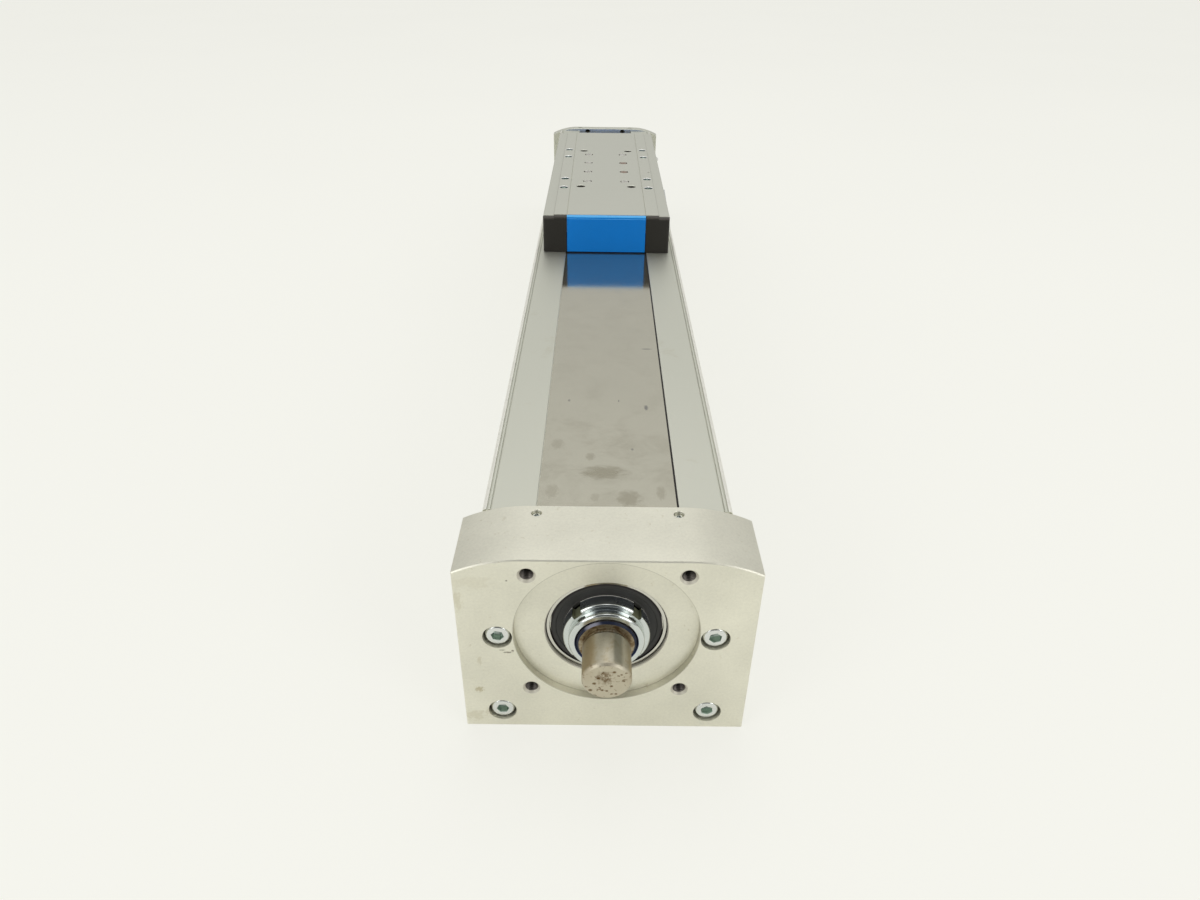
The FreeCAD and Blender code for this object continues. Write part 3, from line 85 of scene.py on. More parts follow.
# %% Camera
CAMERA_PLACE = Vector((-5.629, -295.42, 300.485)) * MM
CAMERA_YAW = 0.00368
CAMERA_PITCH = 0.57148
CAMERA_ROLL = -0.01362
CAMERA_LENS = 24.581

level_forward = Vector((math.sin(CAMERA_YAW), math.cos(CAMERA_YAW), 0.0))
forward = level_forward * math.cos(CAMERA_PITCH) - Vector((0.0, 0.0, math.sin(CAMERA_PITCH)))
level_right = Vector((math.cos(CAMERA_YAW), -math.sin(CAMERA_YAW), 0.0))
plumb_down = forward.cross(level_right)
camera_right = level_right * math.cos(CAMERA_ROLL) + plumb_down * math.sin(CAMERA_ROLL)
camera_down = plumb_down * math.cos(CAMERA_ROLL) - level_right * math.sin(CAMERA_ROLL)
camera_turn = Matrix((camera_right, -camera_down, -forward)).transposed()

lens = bpy.data.cameras.new("camera")
lens.lens = CAMERA_LENS
lens.sensor_width = 36.0
lens.clip_start = 0.01
camera = bpy.data.objects.new("camera", lens)
camera.matrix_world = Matrix.Translation(CAMERA_PLACE) @ camera_turn.to_4x4()
scene = bpy.context.scene
scene.collection.objects.link(camera)
scene.camera = camera
scene.view_settings.view_transform = "Standard"
print("camera:", [round(value, 3) for value in CAMERA_PLACE], "lens", CAMERA_LENS)

# %% [markdown]
# Nodes are placed by small helpers, so that a material reads as a list of what it is made of. A value in
# the list is either a plain number or colour, or an output of another node, which is then linked.

# %% Helpers for node trees
def add(tree, kind, inputs=None, **settings):
    node = tree.nodes.new("ShaderNode" + kind)
    for name, value in settings.items():
        setattr(node, name, value)
    for name, value in (inputs or {}).items():
        if isinstance(value, bpy.types.NodeSocket):
            tree.links.new(value, node.inputs[name])
        else:
            node.inputs[name].default_value = value
    return node


def maths(tree, operation, *values):
    return add(tree, "Math", dict(enumerate(values)), operation=operation).outputs[0]


def vector_maths(tree, operation, *values):
    return add(tree, "VectorMath", dict(enumerate(values)), operation=operation).outputs


def mix(tree, mask, first, second):
    return add(tree, "Mix", {0: mask, 6: first, 7: second}, data_type="RGBA").outputs[2]


def noise(tree, place, scale, detail=2.0, roughness=0.5, distortion=0.0):
    values = {"Vector": place, "Scale": scale, "Detail": detail, "Roughness": roughness,
              "Distortion": distortion}
    return add(tree, "TexNoise", values).outputs["Fac"]


print("helpers: add, maths, vector_maths, mix, noise")

# %% [markdown]
# The axis lies on a plain pale board in soft light. The board is one large face, a little brighter to the
# camera than its lamps make it, so that the shadow under the housing stays soft.

# %% Floor
FLOOR_HALF = 9.0
FLOOR_COLOUR = (0.955, 0.953, 0.892, 1.0)
FLOOR_GLOW = 0.72
FLOOR_MIRRORED = 0.46
CLOUD_TONE, CLOUD_SCALE = 0.985, 2.0

floor_material = bpy.data.materials.new("pale_board")
floor_material.use_nodes = True
board = floor_material.node_tree
board_cloud = noise(board, add(board, "TexCoord").outputs["Object"], CLOUD_SCALE)
board_dark = tuple(CLOUD_TONE * value for value in FLOOR_COLOUR[:3]) + (1.0,)
board_colour = mix(board, board_cloud, FLOOR_COLOUR, board_dark)
matt = board.nodes["Principled BSDF"]
matt.inputs["Roughness"].default_value = 0.9
matt.inputs["Specular IOR Level"].default_value = 0.1
board.links.new(board_colour, matt.inputs["Base Color"])
rays = add(board, "LightPath").outputs
seen_share = maths(board, "MULTIPLY", rays["Is Camera Ray"], FLOOR_GLOW)
mirrored_share = maths(board, "MULTIPLY", rays["Is Glossy Ray"], FLOOR_MIRRORED)
glow_share = maths(board, "MAXIMUM", seen_share, mirrored_share)
glow = add(board, "Emission", {"Color": board_colour}).outputs[0]
board_look = add(board, "MixShader", {0: glow_share, 1: matt.outputs[0], 2: glow}).outputs[0]
board.links.new(board_look, board.nodes["Material Output"].inputs["Surface"])

floor_bm = bmesh.new()
bmesh.ops.create_grid(floor_bm, x_segments=1, y_segments=1, size=FLOOR_HALF)
bmesh.ops.translate(floor_bm, vec=(0.0, 0.0, cad_box[0][2]), verts=floor_bm.verts)
floor_mesh = bpy.data.meshes.new("floor")
floor_bm.to_mesh(floor_mesh)
floor_bm.free()
floor_mesh.materials.append(floor_material)
floor = bpy.data.objects.new("floor", floor_mesh)
scene.collection.objects.link(floor)
print("floor at", round(cad_box[0][2], 4))

# %% [markdown]
# Light comes from a bright ceiling and from two windows behind the camera. Small lamps would give hard
# shadows and white dots in every edge, so these are large and soft.

# %% Lamps
LAMP_AIM = Vector((0.0, 0.2, 0.0))
LAMP_TABLE = {
    "ceiling_lamp": ((0.0, 0.3, 2.2), (0.7, 3.0), 7.0),
    "left_window": ((-2.4, -2.0, 1.6), (1.6, 1.8), 22.0),
    "right_window": ((2.4, -2.0, 1.6), (1.6, 1.8), 22.0)}

for lamp_name, (lamp_place, lamp_size, power) in LAMP_TABLE.items():
    lamp_data = bpy.data.lights.new(lamp_name, "AREA")
    lamp_data.shape = "RECTANGLE"
    lamp_data.size, lamp_data.size_y = lamp_size
    lamp_data.energy = power
    lamp = bpy.data.objects.new(lamp_name, lamp_data)
    beam = (LAMP_AIM - Vector(lamp_place)).to_track_quat("-Z", "Y")
    lamp.matrix_world = Matrix.Translation(lamp_place) @ beam.to_matrix().to_4x4()
    scene.collection.objects.link(lamp)
print("lamps:", sorted(LAMP_TABLE))

# %% [markdown]
# Metal shows its surroundings, so the room matters as much as the lamps. It is bright overhead and dimmer
# towards the walls, and that is why the far end of the slide looks darker than the cover in front. Between
# the windows the room is dark, or the edges of bright metal would fade into the pale cover. The camera sees
# the same pale wall all round.

# %% The room
WALL_LIGHT = 0.36
CEILING_LIGHT = 0.97
DARK_TOWARDS = (0.0, -0.72, 0.69)
DARK_RIM, DARK_HEART = 0.76, 0.88
DARK_LIGHT = 0.15
SEEN_LIGHT = 0.85
WORLD_COLOUR = (1.0, 1.0, 0.985, 1.0)

world = bpy.data.worlds.new("white_room")
world.use_nodes = True
sky = world.node_tree
direction = add(sky, "TexCoord").outputs["Generated"]
height = add(sky, "SeparateXYZ", {0: direction}).outputs["Z"]
brightness = add(sky, "MapRange", {"Value": height, "To Min": WALL_LIGHT, "To Max": CEILING_LIGHT})
facing = vector_maths(sky, "DOT_PRODUCT", direction, DARK_TOWARDS)["Value"]
dimming = add(sky, "MapRange", {"Value": facing, "From Min": DARK_RIM, "From Max": DARK_HEART,
                                "To Min": 1.0, "To Max": DARK_LIGHT})
strength = maths(sky, "MULTIPLY", brightness.outputs["Result"], dimming.outputs["Result"])
seen = add(sky, "LightPath").outputs["Is Camera Ray"]
strength = add(sky, "Mix", {0: seen, 2: strength, 3: SEEN_LIGHT}).outputs[0]
sky.nodes["Background"].inputs["Color"].default_value = WORLD_COLOUR
sky.links.new(strength, sky.nodes["Background"].inputs["Strength"])
scene.world = world
print("room from", WALL_LIGHT, "at the walls to", CEILING_LIGHT, "overhead")

# %% [markdown]
# Every finish starts from the same thing: a colour that is never quite even. On blasted and anodised
# aluminium there is a fine grain with soft clouds under it, and where a cloud is darker the surface is a
# little rougher too. One node group does that for all finishes, with its own scales in each.

# %% Group: grain
def new_group(name, inputs, outputs):
    group = bpy.data.node_groups.new(name, "ShaderNodeTree")
    for label, kind in inputs.items():
        group.interface.new_socket(label, in_out="INPUT", socket_type="NodeSocket" + kind)
    for label, kind in outputs.items():
        group.interface.new_socket(label, in_out="OUTPUT", socket_type="NodeSocket" + kind)
    source = group.nodes.new("NodeGroupInput").outputs
    result = group.nodes.new("NodeGroupOutput").inputs
    return group, source, result


def make_grain():
    group, source, result = new_group(
        "grain",
        {"Place": "Vector", "Colour": "Color", "Fine": "Float", "Broad": "Float", "Spread": "Float",
         "Roughness": "Float", "Rough Spread": "Float"},
        {"Colour": "Color", "Roughness": "Float", "Height": "Float"})
    fine = noise(group, source["Place"], source["Fine"], detail=3.0, roughness=0.6)
    broad = noise(group, source["Place"], source["Broad"], detail=4.0)
    clouds = maths(group, "MULTIPLY", maths(group, "SUBTRACT", broad, 0.5), 1.6)
    both = maths(group, "ADD", maths(group, "SUBTRACT", fine, 0.5), clouds)
    tone = maths(group, "MULTIPLY_ADD", both, source["Spread"], 1.0)
    shade = add(group, "VectorMath", {0: source["Colour"], "Scale": tone}, operation="SCALE").outputs[0]
    darker = maths(group, "SUBTRACT", 0.5, broad)
    dull = maths(group, "MULTIPLY_ADD", darker, source["Rough Spread"], source["Roughness"])
    for label, value in (("Colour", shade), ("Roughness", dull), ("Height", fine)):
        group.links.new(value, result[label])
    return group


grain_group = make_grain()
print("group:", grain_group.name)

# %% [markdown]
# Tools leave lines. An extrusion has faint lines along its length, a milled face along the cut, and a turned
# face has rings round the lathe's axis. Both groups stretch a noise: the first along Y, the second by
# reading it from the distance to the screw's axis, so that the lines run round it.

# %% Groups: drawn lines and turned lines
LINE_STRETCH = 0.004


def make_drawn_lines():
    group, source, result = new_group(
        "drawn_lines", {"Place": "Vector", "Scale": "Float"}, {"Mask": "Float"})
    squeezed = vector_maths(group, "MULTIPLY", source["Place"], (1.0, LINE_STRETCH, 1.0))[0]
    group.links.new(noise(group, squeezed, source["Scale"], detail=4.0), result["Mask"])
    return group


def make_turned_lines():
    group, source, result = new_group(
        "turned_lines", {"Place": "Vector", "Scale": "Float"}, {"Mask": "Float", "Radius": "Float"})
    flat = vector_maths(group, "MULTIPLY", source["Place"], (1.0, 0.0, 1.0))[0]
    radius = vector_maths(group, "LENGTH", flat)["Value"]
    along = add(group, "SeparateXYZ", {0: source["Place"]}).outputs["Y"]
    values = {"W": maths(group, "ADD", radius, along), "Scale": source["Scale"], "Detail": 3.0}
    rings = add(group, "TexNoise", values, noise_dimensions="1D")
    group.links.new(rings.outputs["Fac"], result["Mask"])
    group.links.new(radius, result["Radius"])
    return group


drawn_group = make_drawn_lines()
turned_group = make_turned_lines()
print("groups:", drawn_group.name, turned_group.name)

# %% [markdown]
# Dirt has two habits. Some of it lies in patches anywhere, which a noise with a threshold gives. Some of it
# is one mark in one place, such as a smear below a screw or a scratch on the band. That is a soft ellipsoid
# around a point, broken up by noise so that its rim isn't a clean curve.

# %% Groups: patches and a single mark
def soft_mask(group, value, low, high):
    limits = {"Value": value, "From Min": low, "From Max": high}
    return add(group, "MapRange", limits, interpolation_type="SMOOTHSTEP").outputs["Result"]


def make_patches():
    group, source, result = new_group(
        "patches", {"Place": "Vector", "Scale": "Float", "From": "Float", "To": "Float"}, {"Mask": "Float"})
    torn = noise(group, source["Place"], source["Scale"], detail=6.0, roughness=0.62, distortion=0.4)
    group.links.new(soft_mask(group, torn, source["From"], source["To"]), result["Mask"])
    return group


def make_mark():
    group, source, result = new_group(
        "mark", {"Place": "Vector", "Centre": "Vector", "Reach": "Vector", "Ragged": "Float"},
        {"Mask": "Float"})
    offset = vector_maths(group, "SUBTRACT", source["Place"], source["Centre"])[0]
    shared = vector_maths(group, "DIVIDE", offset, source["Reach"])[0]
    distance = vector_maths(group, "LENGTH", shared)["Value"]
    ragged = maths(group, "SUBTRACT", noise(group, shared, 2.6, detail=5.0), 0.5)
    torn = maths(group, "MULTIPLY_ADD", ragged, source["Ragged"], distance)
    group.links.new(soft_mask(group, torn, 1.0, 0.35), result["Mask"])
    return group


patches_group = make_patches()
mark_group = make_mark()
print("groups:", patches_group.name, mark_group.name)

# %% [markdown]
# A finish is then a Principled shader whose colour and roughness come from the grain group, with the lines
# or the grain as a fine bump. What is the same all over, such as metallic, is set on the shader itself. A
# veil is a thin layer of another colour, as thick as its mask and strength say.

# %% Finishes
finishes = {}


class Finish:
    def __init__(self, name, metallic, colour, roughness, fine, broad, spread, rough_spread, depth,
                 specular=0.5):
        finishes[name] = bpy.data.materials.new(name)
        finishes[name].use_nodes = True
        self.tree = finishes[name].node_tree
        self.shader = self.tree.nodes["Principled BSDF"].inputs
        self.shader["Metallic"].default_value = metallic
        self.shader["Specular IOR Level"].default_value = specular
        self.depth = depth * MM
        self.place = add(self.tree, "TexCoord").outputs["Object"]
        base = self.layer(grain_group, {
            "Colour": (*colour, 1.0), "Fine": fine, "Broad": broad, "Spread": spread,
            "Roughness": roughness, "Rough Spread": rough_spread})
        self.colour, self.roughness, self.height = base["Colour"], base["Roughness"], base["Height"]

    def layer(self, group, values):
        return add(self.tree, "Group", {"Place": self.place, **values}, node_tree=group).outputs

    def maths(self, operation, *values):
        return maths(self.tree, operation, *values)

    def lines(self, group, scale):
        return self.layer(group, {"Scale": scale})

    def patches(self, scale, low, high):
        return self.layer(patches_group, {"Scale": scale, "From": low, "To": high})["Mask"]

    def mark(self, centre, reach, ragged):
        values = {"Centre": [value * MM for value in centre], "Reach": [value * MM for value in reach],
                  "Ragged": ragged}
        return self.layer(mark_group, values)["Mask"]

    def veil(self, mask, strength, tint):
        self.colour = mix(self.tree, self.maths("MULTIPLY", mask, strength), self.colour, tint)

    def end(self):
        values = {"Height": self.height, "Distance": self.depth, "Strength": 1.0}
        bump = add(self.tree, "Bump", values).outputs["Normal"]
        for name, value in (("Base Color", self.colour), ("Roughness", self.roughness), ("Normal", bump)):
            self.tree.links.new(value, self.shader[name])


print("finishes start with", len(finishes))

# %% [markdown]
# The covers, the housing and the slide are clear anodised aluminium: satin, slightly warm in colour. The
# cover has been handled most. It has faint brown stains on its left side and a dark greasy smear under the
# left screw. Its round recess was turned, so its lines run in rings, and a thin line of painted shade runs
# along its rim.

# %% Anodised drive cover
STAIN_BROWN = (0.40, 0.33, 0.16, 1.0)
# this dark serves the grease smears and also the painted shade lines at the recess rim and the plate's step
GREASE_AND_SHADE_DARK = (0.16, 0.14, 0.10, 1.0)
RECESS_RADIUS, RIM_SHADE = 0.047, 0.0004
COVER_STAINS = (
    ((-66.5, 0, -40.5), (3.0, 6, 2.6), 0.55), ((-70, 0, -61), (7, 6, 5), 0.22),
    ((-73.5, 0, 22), (3.5, 6, 8), 0.2), ((-62, 0, -58), (3, 6, 4), 0.2),
    ((-65, 0, -19), (1.5, 6, 4), 0.25), ((-66, 0, 34), (14, 6, 5), 0.10))
GREASE_SMEARS = (
    ((-50.2, 0, -12.8), (3.0, 3, 0.7)), ((-47.6, 0, -11.6), (0.9, 3, 0.9)),
    ((-53.0, 0, -11.2), (2.0, 3, 0.4)), ((-48.5, 0, 35.6), (0.7, 3, 0.6)))

cover = Finish("anodised_cover", 0.85, (0.80, 0.785, 0.67), 0.44,
               fine=700.0, broad=26.0, spread=0.18, rough_spread=0.12, depth=0.012)
cover.veil(cover.patches(300.0, 0.62, 0.74), 0.28, STAIN_BROWN)
for centre, reach, strength in COVER_STAINS:
    cover.veil(cover.mark(centre, reach, 2.2), strength, STAIN_BROWN)
for centre, reach in GREASE_SMEARS:
    cover.veil(cover.mark(centre, reach, 2.0), 0.8, GREASE_AND_SHADE_DARK)
rings = cover.lines(turned_group, 1500.0)
in_recess = cover.maths("LESS_THAN", rings["Radius"], RECESS_RADIUS)
# painted shade: a thin dark line along the recess rim, where the lip throws a shadow
cover.veil(cover.maths("COMPARE", rings["Radius"], RECESS_RADIUS, RIM_SHADE), 0.30, GREASE_AND_SHADE_DARK)
turned = cover.maths("MULTIPLY", rings["Mask"], 1.2)
cover.height = cover.maths("MULTIPLY_ADD", turned, in_recess, cover.height)
cover.end()
print("cover:", len(COVER_STAINS), "stains and", len(GREASE_SMEARS), "smears")

# %% [markdown]
# The housing shows faint lines along its length from the extrusion die, the slide plate finer lines from
# milling, and a thin line of painted shade in the corner of its step. Inner brackets are plain aluminium
# without anodising.

# %% Anodised housing and slide
PLATE_STEP, STEP_SHADE = 0.0475, 0.0003

housing = Finish("anodised_housing", 0.85, (0.685, 0.69, 0.60), 0.46,
                 fine=1600.0, broad=9.0, spread=0.05, rough_spread=0.10, depth=0.010)
housing.veil(housing.patches(35.0, 0.60, 0.78), 0.25, STAIN_BROWN)
housing.height = housing.lines(drawn_group, 900.0)["Mask"]
housing.end()

slide = Finish("anodised_slide", 0.85, (0.695, 0.70, 0.615), 0.42,
               fine=1500.0, broad=14.0, spread=0.06, rough_spread=0.10, depth=0.008)
across = slide.maths("ABSOLUTE", add(slide.tree, "SeparateXYZ", {0: slide.place}).outputs["X"])
# painted shade: a thin dark line in the corner of the plate's step
slide.veil(slide.maths("COMPARE", across, PLATE_STEP, STEP_SHADE), 0.30, GREASE_AND_SHADE_DARK)
slide.height = slide.lines(drawn_group, 1500.0)["Mask"]
slide.end()

bracket = Finish("plain_aluminium", 1.0, (0.62, 0.62, 0.60), 0.38,
                 fine=900.0, broad=30.0, spread=0.08, rough_spread=0.15, depth=0.008)
bracket.height = bracket.lines(drawn_group, 1100.0)["Mask"]
bracket.end()
print("finishes so far:", sorted(finishes))

# %% [markdown]
# Some faces look different from the part around them: a bored ring is pale with a painted highlight, the
# shiny inner face of the rear cover is tinted with a painted blue reflection, the bare wall of a tapped hole
# is painted dark as the shade deep in a hole, a gap is painted dark as shade, and the housing's outer edges
# carry a painted highlight. These need no layers.

# %% Cut faces, painted highlights and painted shade
# Columns: name, metallic, colour, roughness, fine, broad, spread, rough spread, bump depth, specular
# painted: a blue reflection for the rear cover's inner face, and dark shade for gaps and tapped holes
cut_table = [
    ("sawn_face", 0.6, (0.60, 0.68, 0.82), 0.20, 900.0, 60.0, 0.12, 0.08, 0.003),
    ("old_oil", 0.0, (0.030, 0.026, 0.026), 0.50, 1200.0, 60.0, 0.30, 0.20, 0.020, 0.2),
    ("tapped_hole", 0.7, (0.16, 0.145, 0.13), 0.42, 1500.0, 300.0, 0.30, 0.15, 0.020)]
# painted highlights: the pale rings and the housing's outer edges; seat walls and rust are the metal's own
# colour
for name, tint in (("bored_ring", (0.88, 0.87, 0.82)), ("rusty_ring", (0.62, 0.53, 0.46)),
                   ("pale_edge", (0.84, 0.83, 0.75)), ("seat_wall", (0.66, 0.63, 0.53))):
    cut_table.append((name, 0.15, tint, 0.42, 1300.0, 200.0, 0.15, 0.15, 0.010))
for row in cut_table:
    Finish(*row).end()
print("cut faces:", [row[0] for row in cut_table])

# %% [markdown]
# The cover band is rolled stainless strip, nearly a mirror. What makes it look real is what spoils the
# mirror: finger marks and dried oil near the drive end, a grey spot, a short scratch. They are duller and
# browner than the strip, so the same masks go into the colour and into the roughness.

# %% Band steel
BAND_SMUDGE = (0.38, 0.355, 0.27, 1.0)
BAND_SPOT = (0.20, 0.20, 0.20, 1.0)
FINGER_MARKS = (
    ((-2, 79, 45), (17, 8.5, 5), 0.85), ((11.2, 55, 45), (9, 9, 5), 0.75),
    ((-9.6, 95, 45), (3.6, 5, 5), 0.55), ((-6.5, 55.5, 45), (3.6, 5, 5), 0.40),
    ((28.7, 60.5, 45), (3.4, 8, 5), 0.50), ((-29, 108, 45), (5, 7, 5), 0.40),
    ((-29.8, 61, 45), (5, 8, 5), 0.40), ((12, 106, 45), (9, 5, 5), 0.30))
BAND_SPOTS = (
    ((24.6, 151.7, 45), (1.6, 4.0, 5), 0.75), ((28.5, 236, 45), (5.0, 1.6, 5), 0.45),
    ((7.5, 160, 45), (0.6, 2.0, 5), 0.6), ((-24, 160, 45), (1.2, 2.0, 5), 0.5),
    ((14.5, 103, 45), (1.1, 1.6, 5), 0.5))

band = Finish("band_steel", 0.94, (0.620, 0.600, 0.495), 0.09,
              fine=700.0, broad=30.0, spread=0.05, rough_spread=0.06, depth=0.002)
near_end = band.mark((0, 60, 45), (80, 130, 30), 0.5)
thickness = band.maths("MULTIPLY_ADD", near_end, 0.32, 0.12)
smudge = band.maths("MULTIPLY", band.patches(42.0, 0.42, 0.76), thickness)
for centre, reach, strength in FINGER_MARKS:
    thumb = band.maths("MULTIPLY", band.mark(centre, reach, 1.1), strength)
    smudge = band.maths("MAXIMUM", smudge, thumb)
band.colour = mix(band.tree, smudge, band.colour, BAND_SMUDGE)
for centre, reach, strength in BAND_SPOTS:
    band.veil(band.mark(centre, reach, 0.8), strength, BAND_SPOT)
band.roughness = band.maths("MULTIPLY_ADD", smudge, 0.22, band.roughness)
band.height = band.lines(drawn_group, 2600.0)["Mask"]
band.end()
print("band:", len(FINGER_MARKS), "finger marks and", len(BAND_SPOTS), "spots")

# %% [markdown]
# The screws and the lock nut are zinc plated, a bright metal with a touch of blue. The nut's zinc is darker,
# and its side darker still, as painted shade for the dark things it reflects; the screw sockets are greener
# and darker, partly chromate and partly painted shade. Bearings and rails are ground steel. The nut's slots
# are painted dark as shade and its bore dark blue as the shade in the gap round the shaft. A painted dark
# reflection lies on its top, and the thread end beside it is painted dark blue as shade, with a painted grey
# reflection at one place. The plate screws' recess finish is painted shade and their rim finish a painted
# highlight.

# %% Steels
# painted reflections: a dark one of the seal on the nut's top, a grey one on the dark thread end
DARK_REFLECTION = (0.16, 0.19, 0.23, 1.0)
GREY_REFLECTION = (0.30, 0.30, 0.36, 1.0)

# Columns: name, colour, roughness, spread, bump depth
turned_table = (
    ("zinc_steel", (0.74, 0.76, 0.74), 0.26, 0.10, 0.010),
    # the nut's side: painted shade, a darker and bluer copy of the nut's zinc
    ("nut_side", (0.46, 0.50, 0.55), 0.27, 0.06, 0.0012),
    ("ground_steel", (0.56, 0.56, 0.55), 0.22, 0.06, 0.004),
    ("bearing_steel", (0.62, 0.61, 0.55), 0.10, 0.08, 0.002))
for name, tint, rough, spread, depth in turned_table:
    steel = Finish(name, 1.0, tint, rough, 1100.0, 60.0, spread, 0.14, depth)
    steel.height = steel.lines(turned_group, 1800.0)["Mask"]
    steel.end()

# Columns as for the cut faces
# painted shade: the nut's slots, the gap of its bore, the plate screws' recesses and part of the sockets'
# darkness; painted highlight: the bright rims
small_steel_table = (
    ("slot_zinc", 0.4, (0.21, 0.22, 0.14), 0.55, 900.0, 150.0, 0.25, 0.10, 0.020),
    ("blued_bore", 0.8, (0.055, 0.075, 0.17), 0.30, 900.0, 150.0, 0.20, 0.10, 0.010),
    ("nipple_steel", 0.35, (0.97, 0.97, 0.95), 0.25, 1100.0, 60.0, 0.05, 0.10, 0.001),
    ("bright_rim", 0.85, (0.97, 0.97, 0.95), 0.25, 1100.0, 60.0, 0.05, 0.10, 0.001),
    ("dark_zinc", 0.1, (0.040, 0.085, 0.088), 0.45, 1200.0, 150.0, 0.20, 0.10, 0.010, 0.1),
    ("socket_steel", 1.0, (0.60, 0.68, 0.62), 0.30, 1500.0, 200.0, 0.15, 0.10, 0.010))
for row in small_steel_table:
    Finish(*row).end()

# painted shade: the nut's zinc is darker than the screws'; its top gets a painted dark reflection
nut = Finish("shaded_nut_zinc", 1.0, (0.64, 0.68, 0.66), 0.17,
             fine=1100.0, broad=60.0, spread=0.06, rough_spread=0.10, depth=0.001)
nut.veil(nut.mark((0, -1.6, 20.6), (15, 0.9, 4.2), 0.3), 0.65, DARK_REFLECTION)
nut.end()

# painted shade: the thread end is dark blue like the gap beside the nut, with a painted grey reflection
gap_shaded_thread = Finish("thread_gap_shade", 0.1, (0.014, 0.019, 0.040), 0.40,
               fine=900.0, broad=150.0, spread=0.20, rough_spread=0.10, depth=0.01, specular=0.2)
gap_shaded_thread.veil(gap_shaded_thread.mark((-7.5, -6, 12.2), (6.5, 4, 4), 0.4), 0.8, GREY_REFLECTION)
gap_shaded_thread.end()
print("steels:", [row[0] for row in turned_table + small_steel_table], "shaded_nut_zinc, thread_gap_shade")

# %% [markdown]
# The bare shaft end has begun to rust: brown mottling on its side and at its root, and dark pits in its
# paler end face, with clean turned rings between. Long brown and grey streaks down its left and right sides
# are partly rust and partly painted shade, which leaves a lighter strip down the middle. The pits are sunk,
# so they go into the bump as well.

# %% Rusted shaft
RUST_BROWN = (0.17, 0.105, 0.045, 1.0)
RUST_PALE = (0.33, 0.255, 0.145, 1.0)
END_CREAM = (0.58, 0.53, 0.41, 1.0)
SIDE_SHADE_GREY = (0.12, 0.12, 0.09, 1.0)
# painted shade: the long streaks on the left and right darken the cylinder's flanks; the rest is rust
SHAFT_RUST_AND_SHADE = (
    ((-9.5, -19, 8), (6, 28, 14), RUST_PALE, 0.85), ((5.4, -19, 10.8), (3.4, 28, 5), SIDE_SHADE_GREY, 0.65),
    ((11.5, -19, 2), (4.5, 28, 9), RUST_PALE, 0.70), ((0, -6.6, 0), (40, 3.4, 40), RUST_PALE, 0.45),
    ((8, -8, 6), (8, 3, 8), RUST_BROWN, 0.50))
END_PITS = ((-7.7, -5.6, 1.0), (-2.1, -5.6, 0.8), (0.1, -6.1, 0.7), (4.5, -8.1, 0.7), (3.5, 6.7, 0.9),
            (6.9, 5.0, 0.6), (2.3, -2.8, 0.8), (-5.9, -1.1, 1.0), (-4.0, 2.5, 0.8), (8.2, 0.5, 0.5))

shaft = Finish("rusted_shaft", 0.9, (0.47, 0.44, 0.345), 0.44,
               fine=900.0, broad=120.0, spread=0.22, rough_spread=0.12, depth=0.04)
shaft.veil(shaft.patches(160.0, 0.46, 0.66), 0.45, RUST_PALE)
for centre, reach, tint, strength in SHAFT_RUST_AND_SHADE:
    shaft.veil(shaft.mark(centre, reach, 0.4), strength, tint)
end_face = shaft.mark((0, -32, 0), (60, 5, 60), 0.0)
shaft.veil(end_face, 0.8, END_CREAM)
root = shaft.mark((0, -6.0, 0), (60, 5, 60), 0.0)
shaft.veil(shaft.maths("MULTIPLY", root, shaft.patches(420.0, 0.46, 0.58)), 0.80, RUST_BROWN)
pitted = shaft.maths("MULTIPLY_ADD", end_face, 0.65, 0.15)
pits = shaft.maths("MULTIPLY", shaft.patches(430.0, 0.57, 0.64), pitted)
for across, up, size in END_PITS:
    pit = shaft.mark((across, -30.1, up), (1.35 * size, 2, 1.1 * size), 0.8)
    pits = shaft.maths("MAXIMUM", pits, pit)
middle = shaft.mark((-1.1, -30, 3.0), (5.4, 3, 5.6), 1.2)
core = shaft.maths("MULTIPLY", middle, shaft.patches(520.0, 0.34, 0.56))
shaft.veil(core, 0.8, RUST_BROWN)
shaft.veil(pits, 0.9, RUST_BROWN)
shaft.roughness = shaft.maths("MULTIPLY_ADD", shaft.maths("ADD", core, pits), 0.22, shaft.roughness)
turned = shaft.maths("MULTIPLY", shaft.lines(turned_group, 1600.0)["Mask"], 0.15)
shaft.height = shaft.maths("SUBTRACT", turned, pits)
shaft.end()
print("shaft:", len(SHAFT_RUST_AND_SHADE), "veils and", len(END_PITS), "pits")

# %% [markdown]
# The plastics and rubber are moulded: no metal, a soft sheen, and a fine spark-eroded grain from the mould
# that breaks up the sheen. The blue end piece is smoother than the dark corner caps. Along their top edges
# both are painted paler, a painted highlight of the light from above.

# %% Plastics, rubber and magnet strip
# Columns: name, colour, roughness, fine, spread, bump depth, specular
moulded_table = (
    ("blue_plastic", (0.005, 0.225, 0.750), 0.34, 900.0, 0.10, 0.008, 0.20),
    # the two lip finishes are painted highlights on the rounded top edges
    ("blue_lip", (0.090, 0.500, 1.000), 0.30, 900.0, 0.06, 0.008, 0.50),
    ("dark_plastic", (0.030, 0.028, 0.024), 0.50, 1300.0, 0.20, 0.020, 0.22),
    ("cap_lip", (0.075, 0.068, 0.058), 0.45, 1300.0, 0.20, 0.010, 0.40),
    ("white_plastic", (0.78, 0.77, 0.72), 0.45, 1000.0, 0.06, 0.015, 0.50),
    ("black_rubber", (0.034, 0.034, 0.031), 0.52, 1200.0, 0.25, 0.015, 0.35),
    ("magnet_strip", (0.060, 0.055, 0.050), 0.60, 900.0, 0.20, 0.020, 0.50))
for name, tint, rough, fine, spread, depth, specular in moulded_table:
    Finish(name, 0.0, tint, rough, fine, 35.0, spread, 0.12, depth, specular).end()
print("moulded:", [row[0] for row in moulded_table])

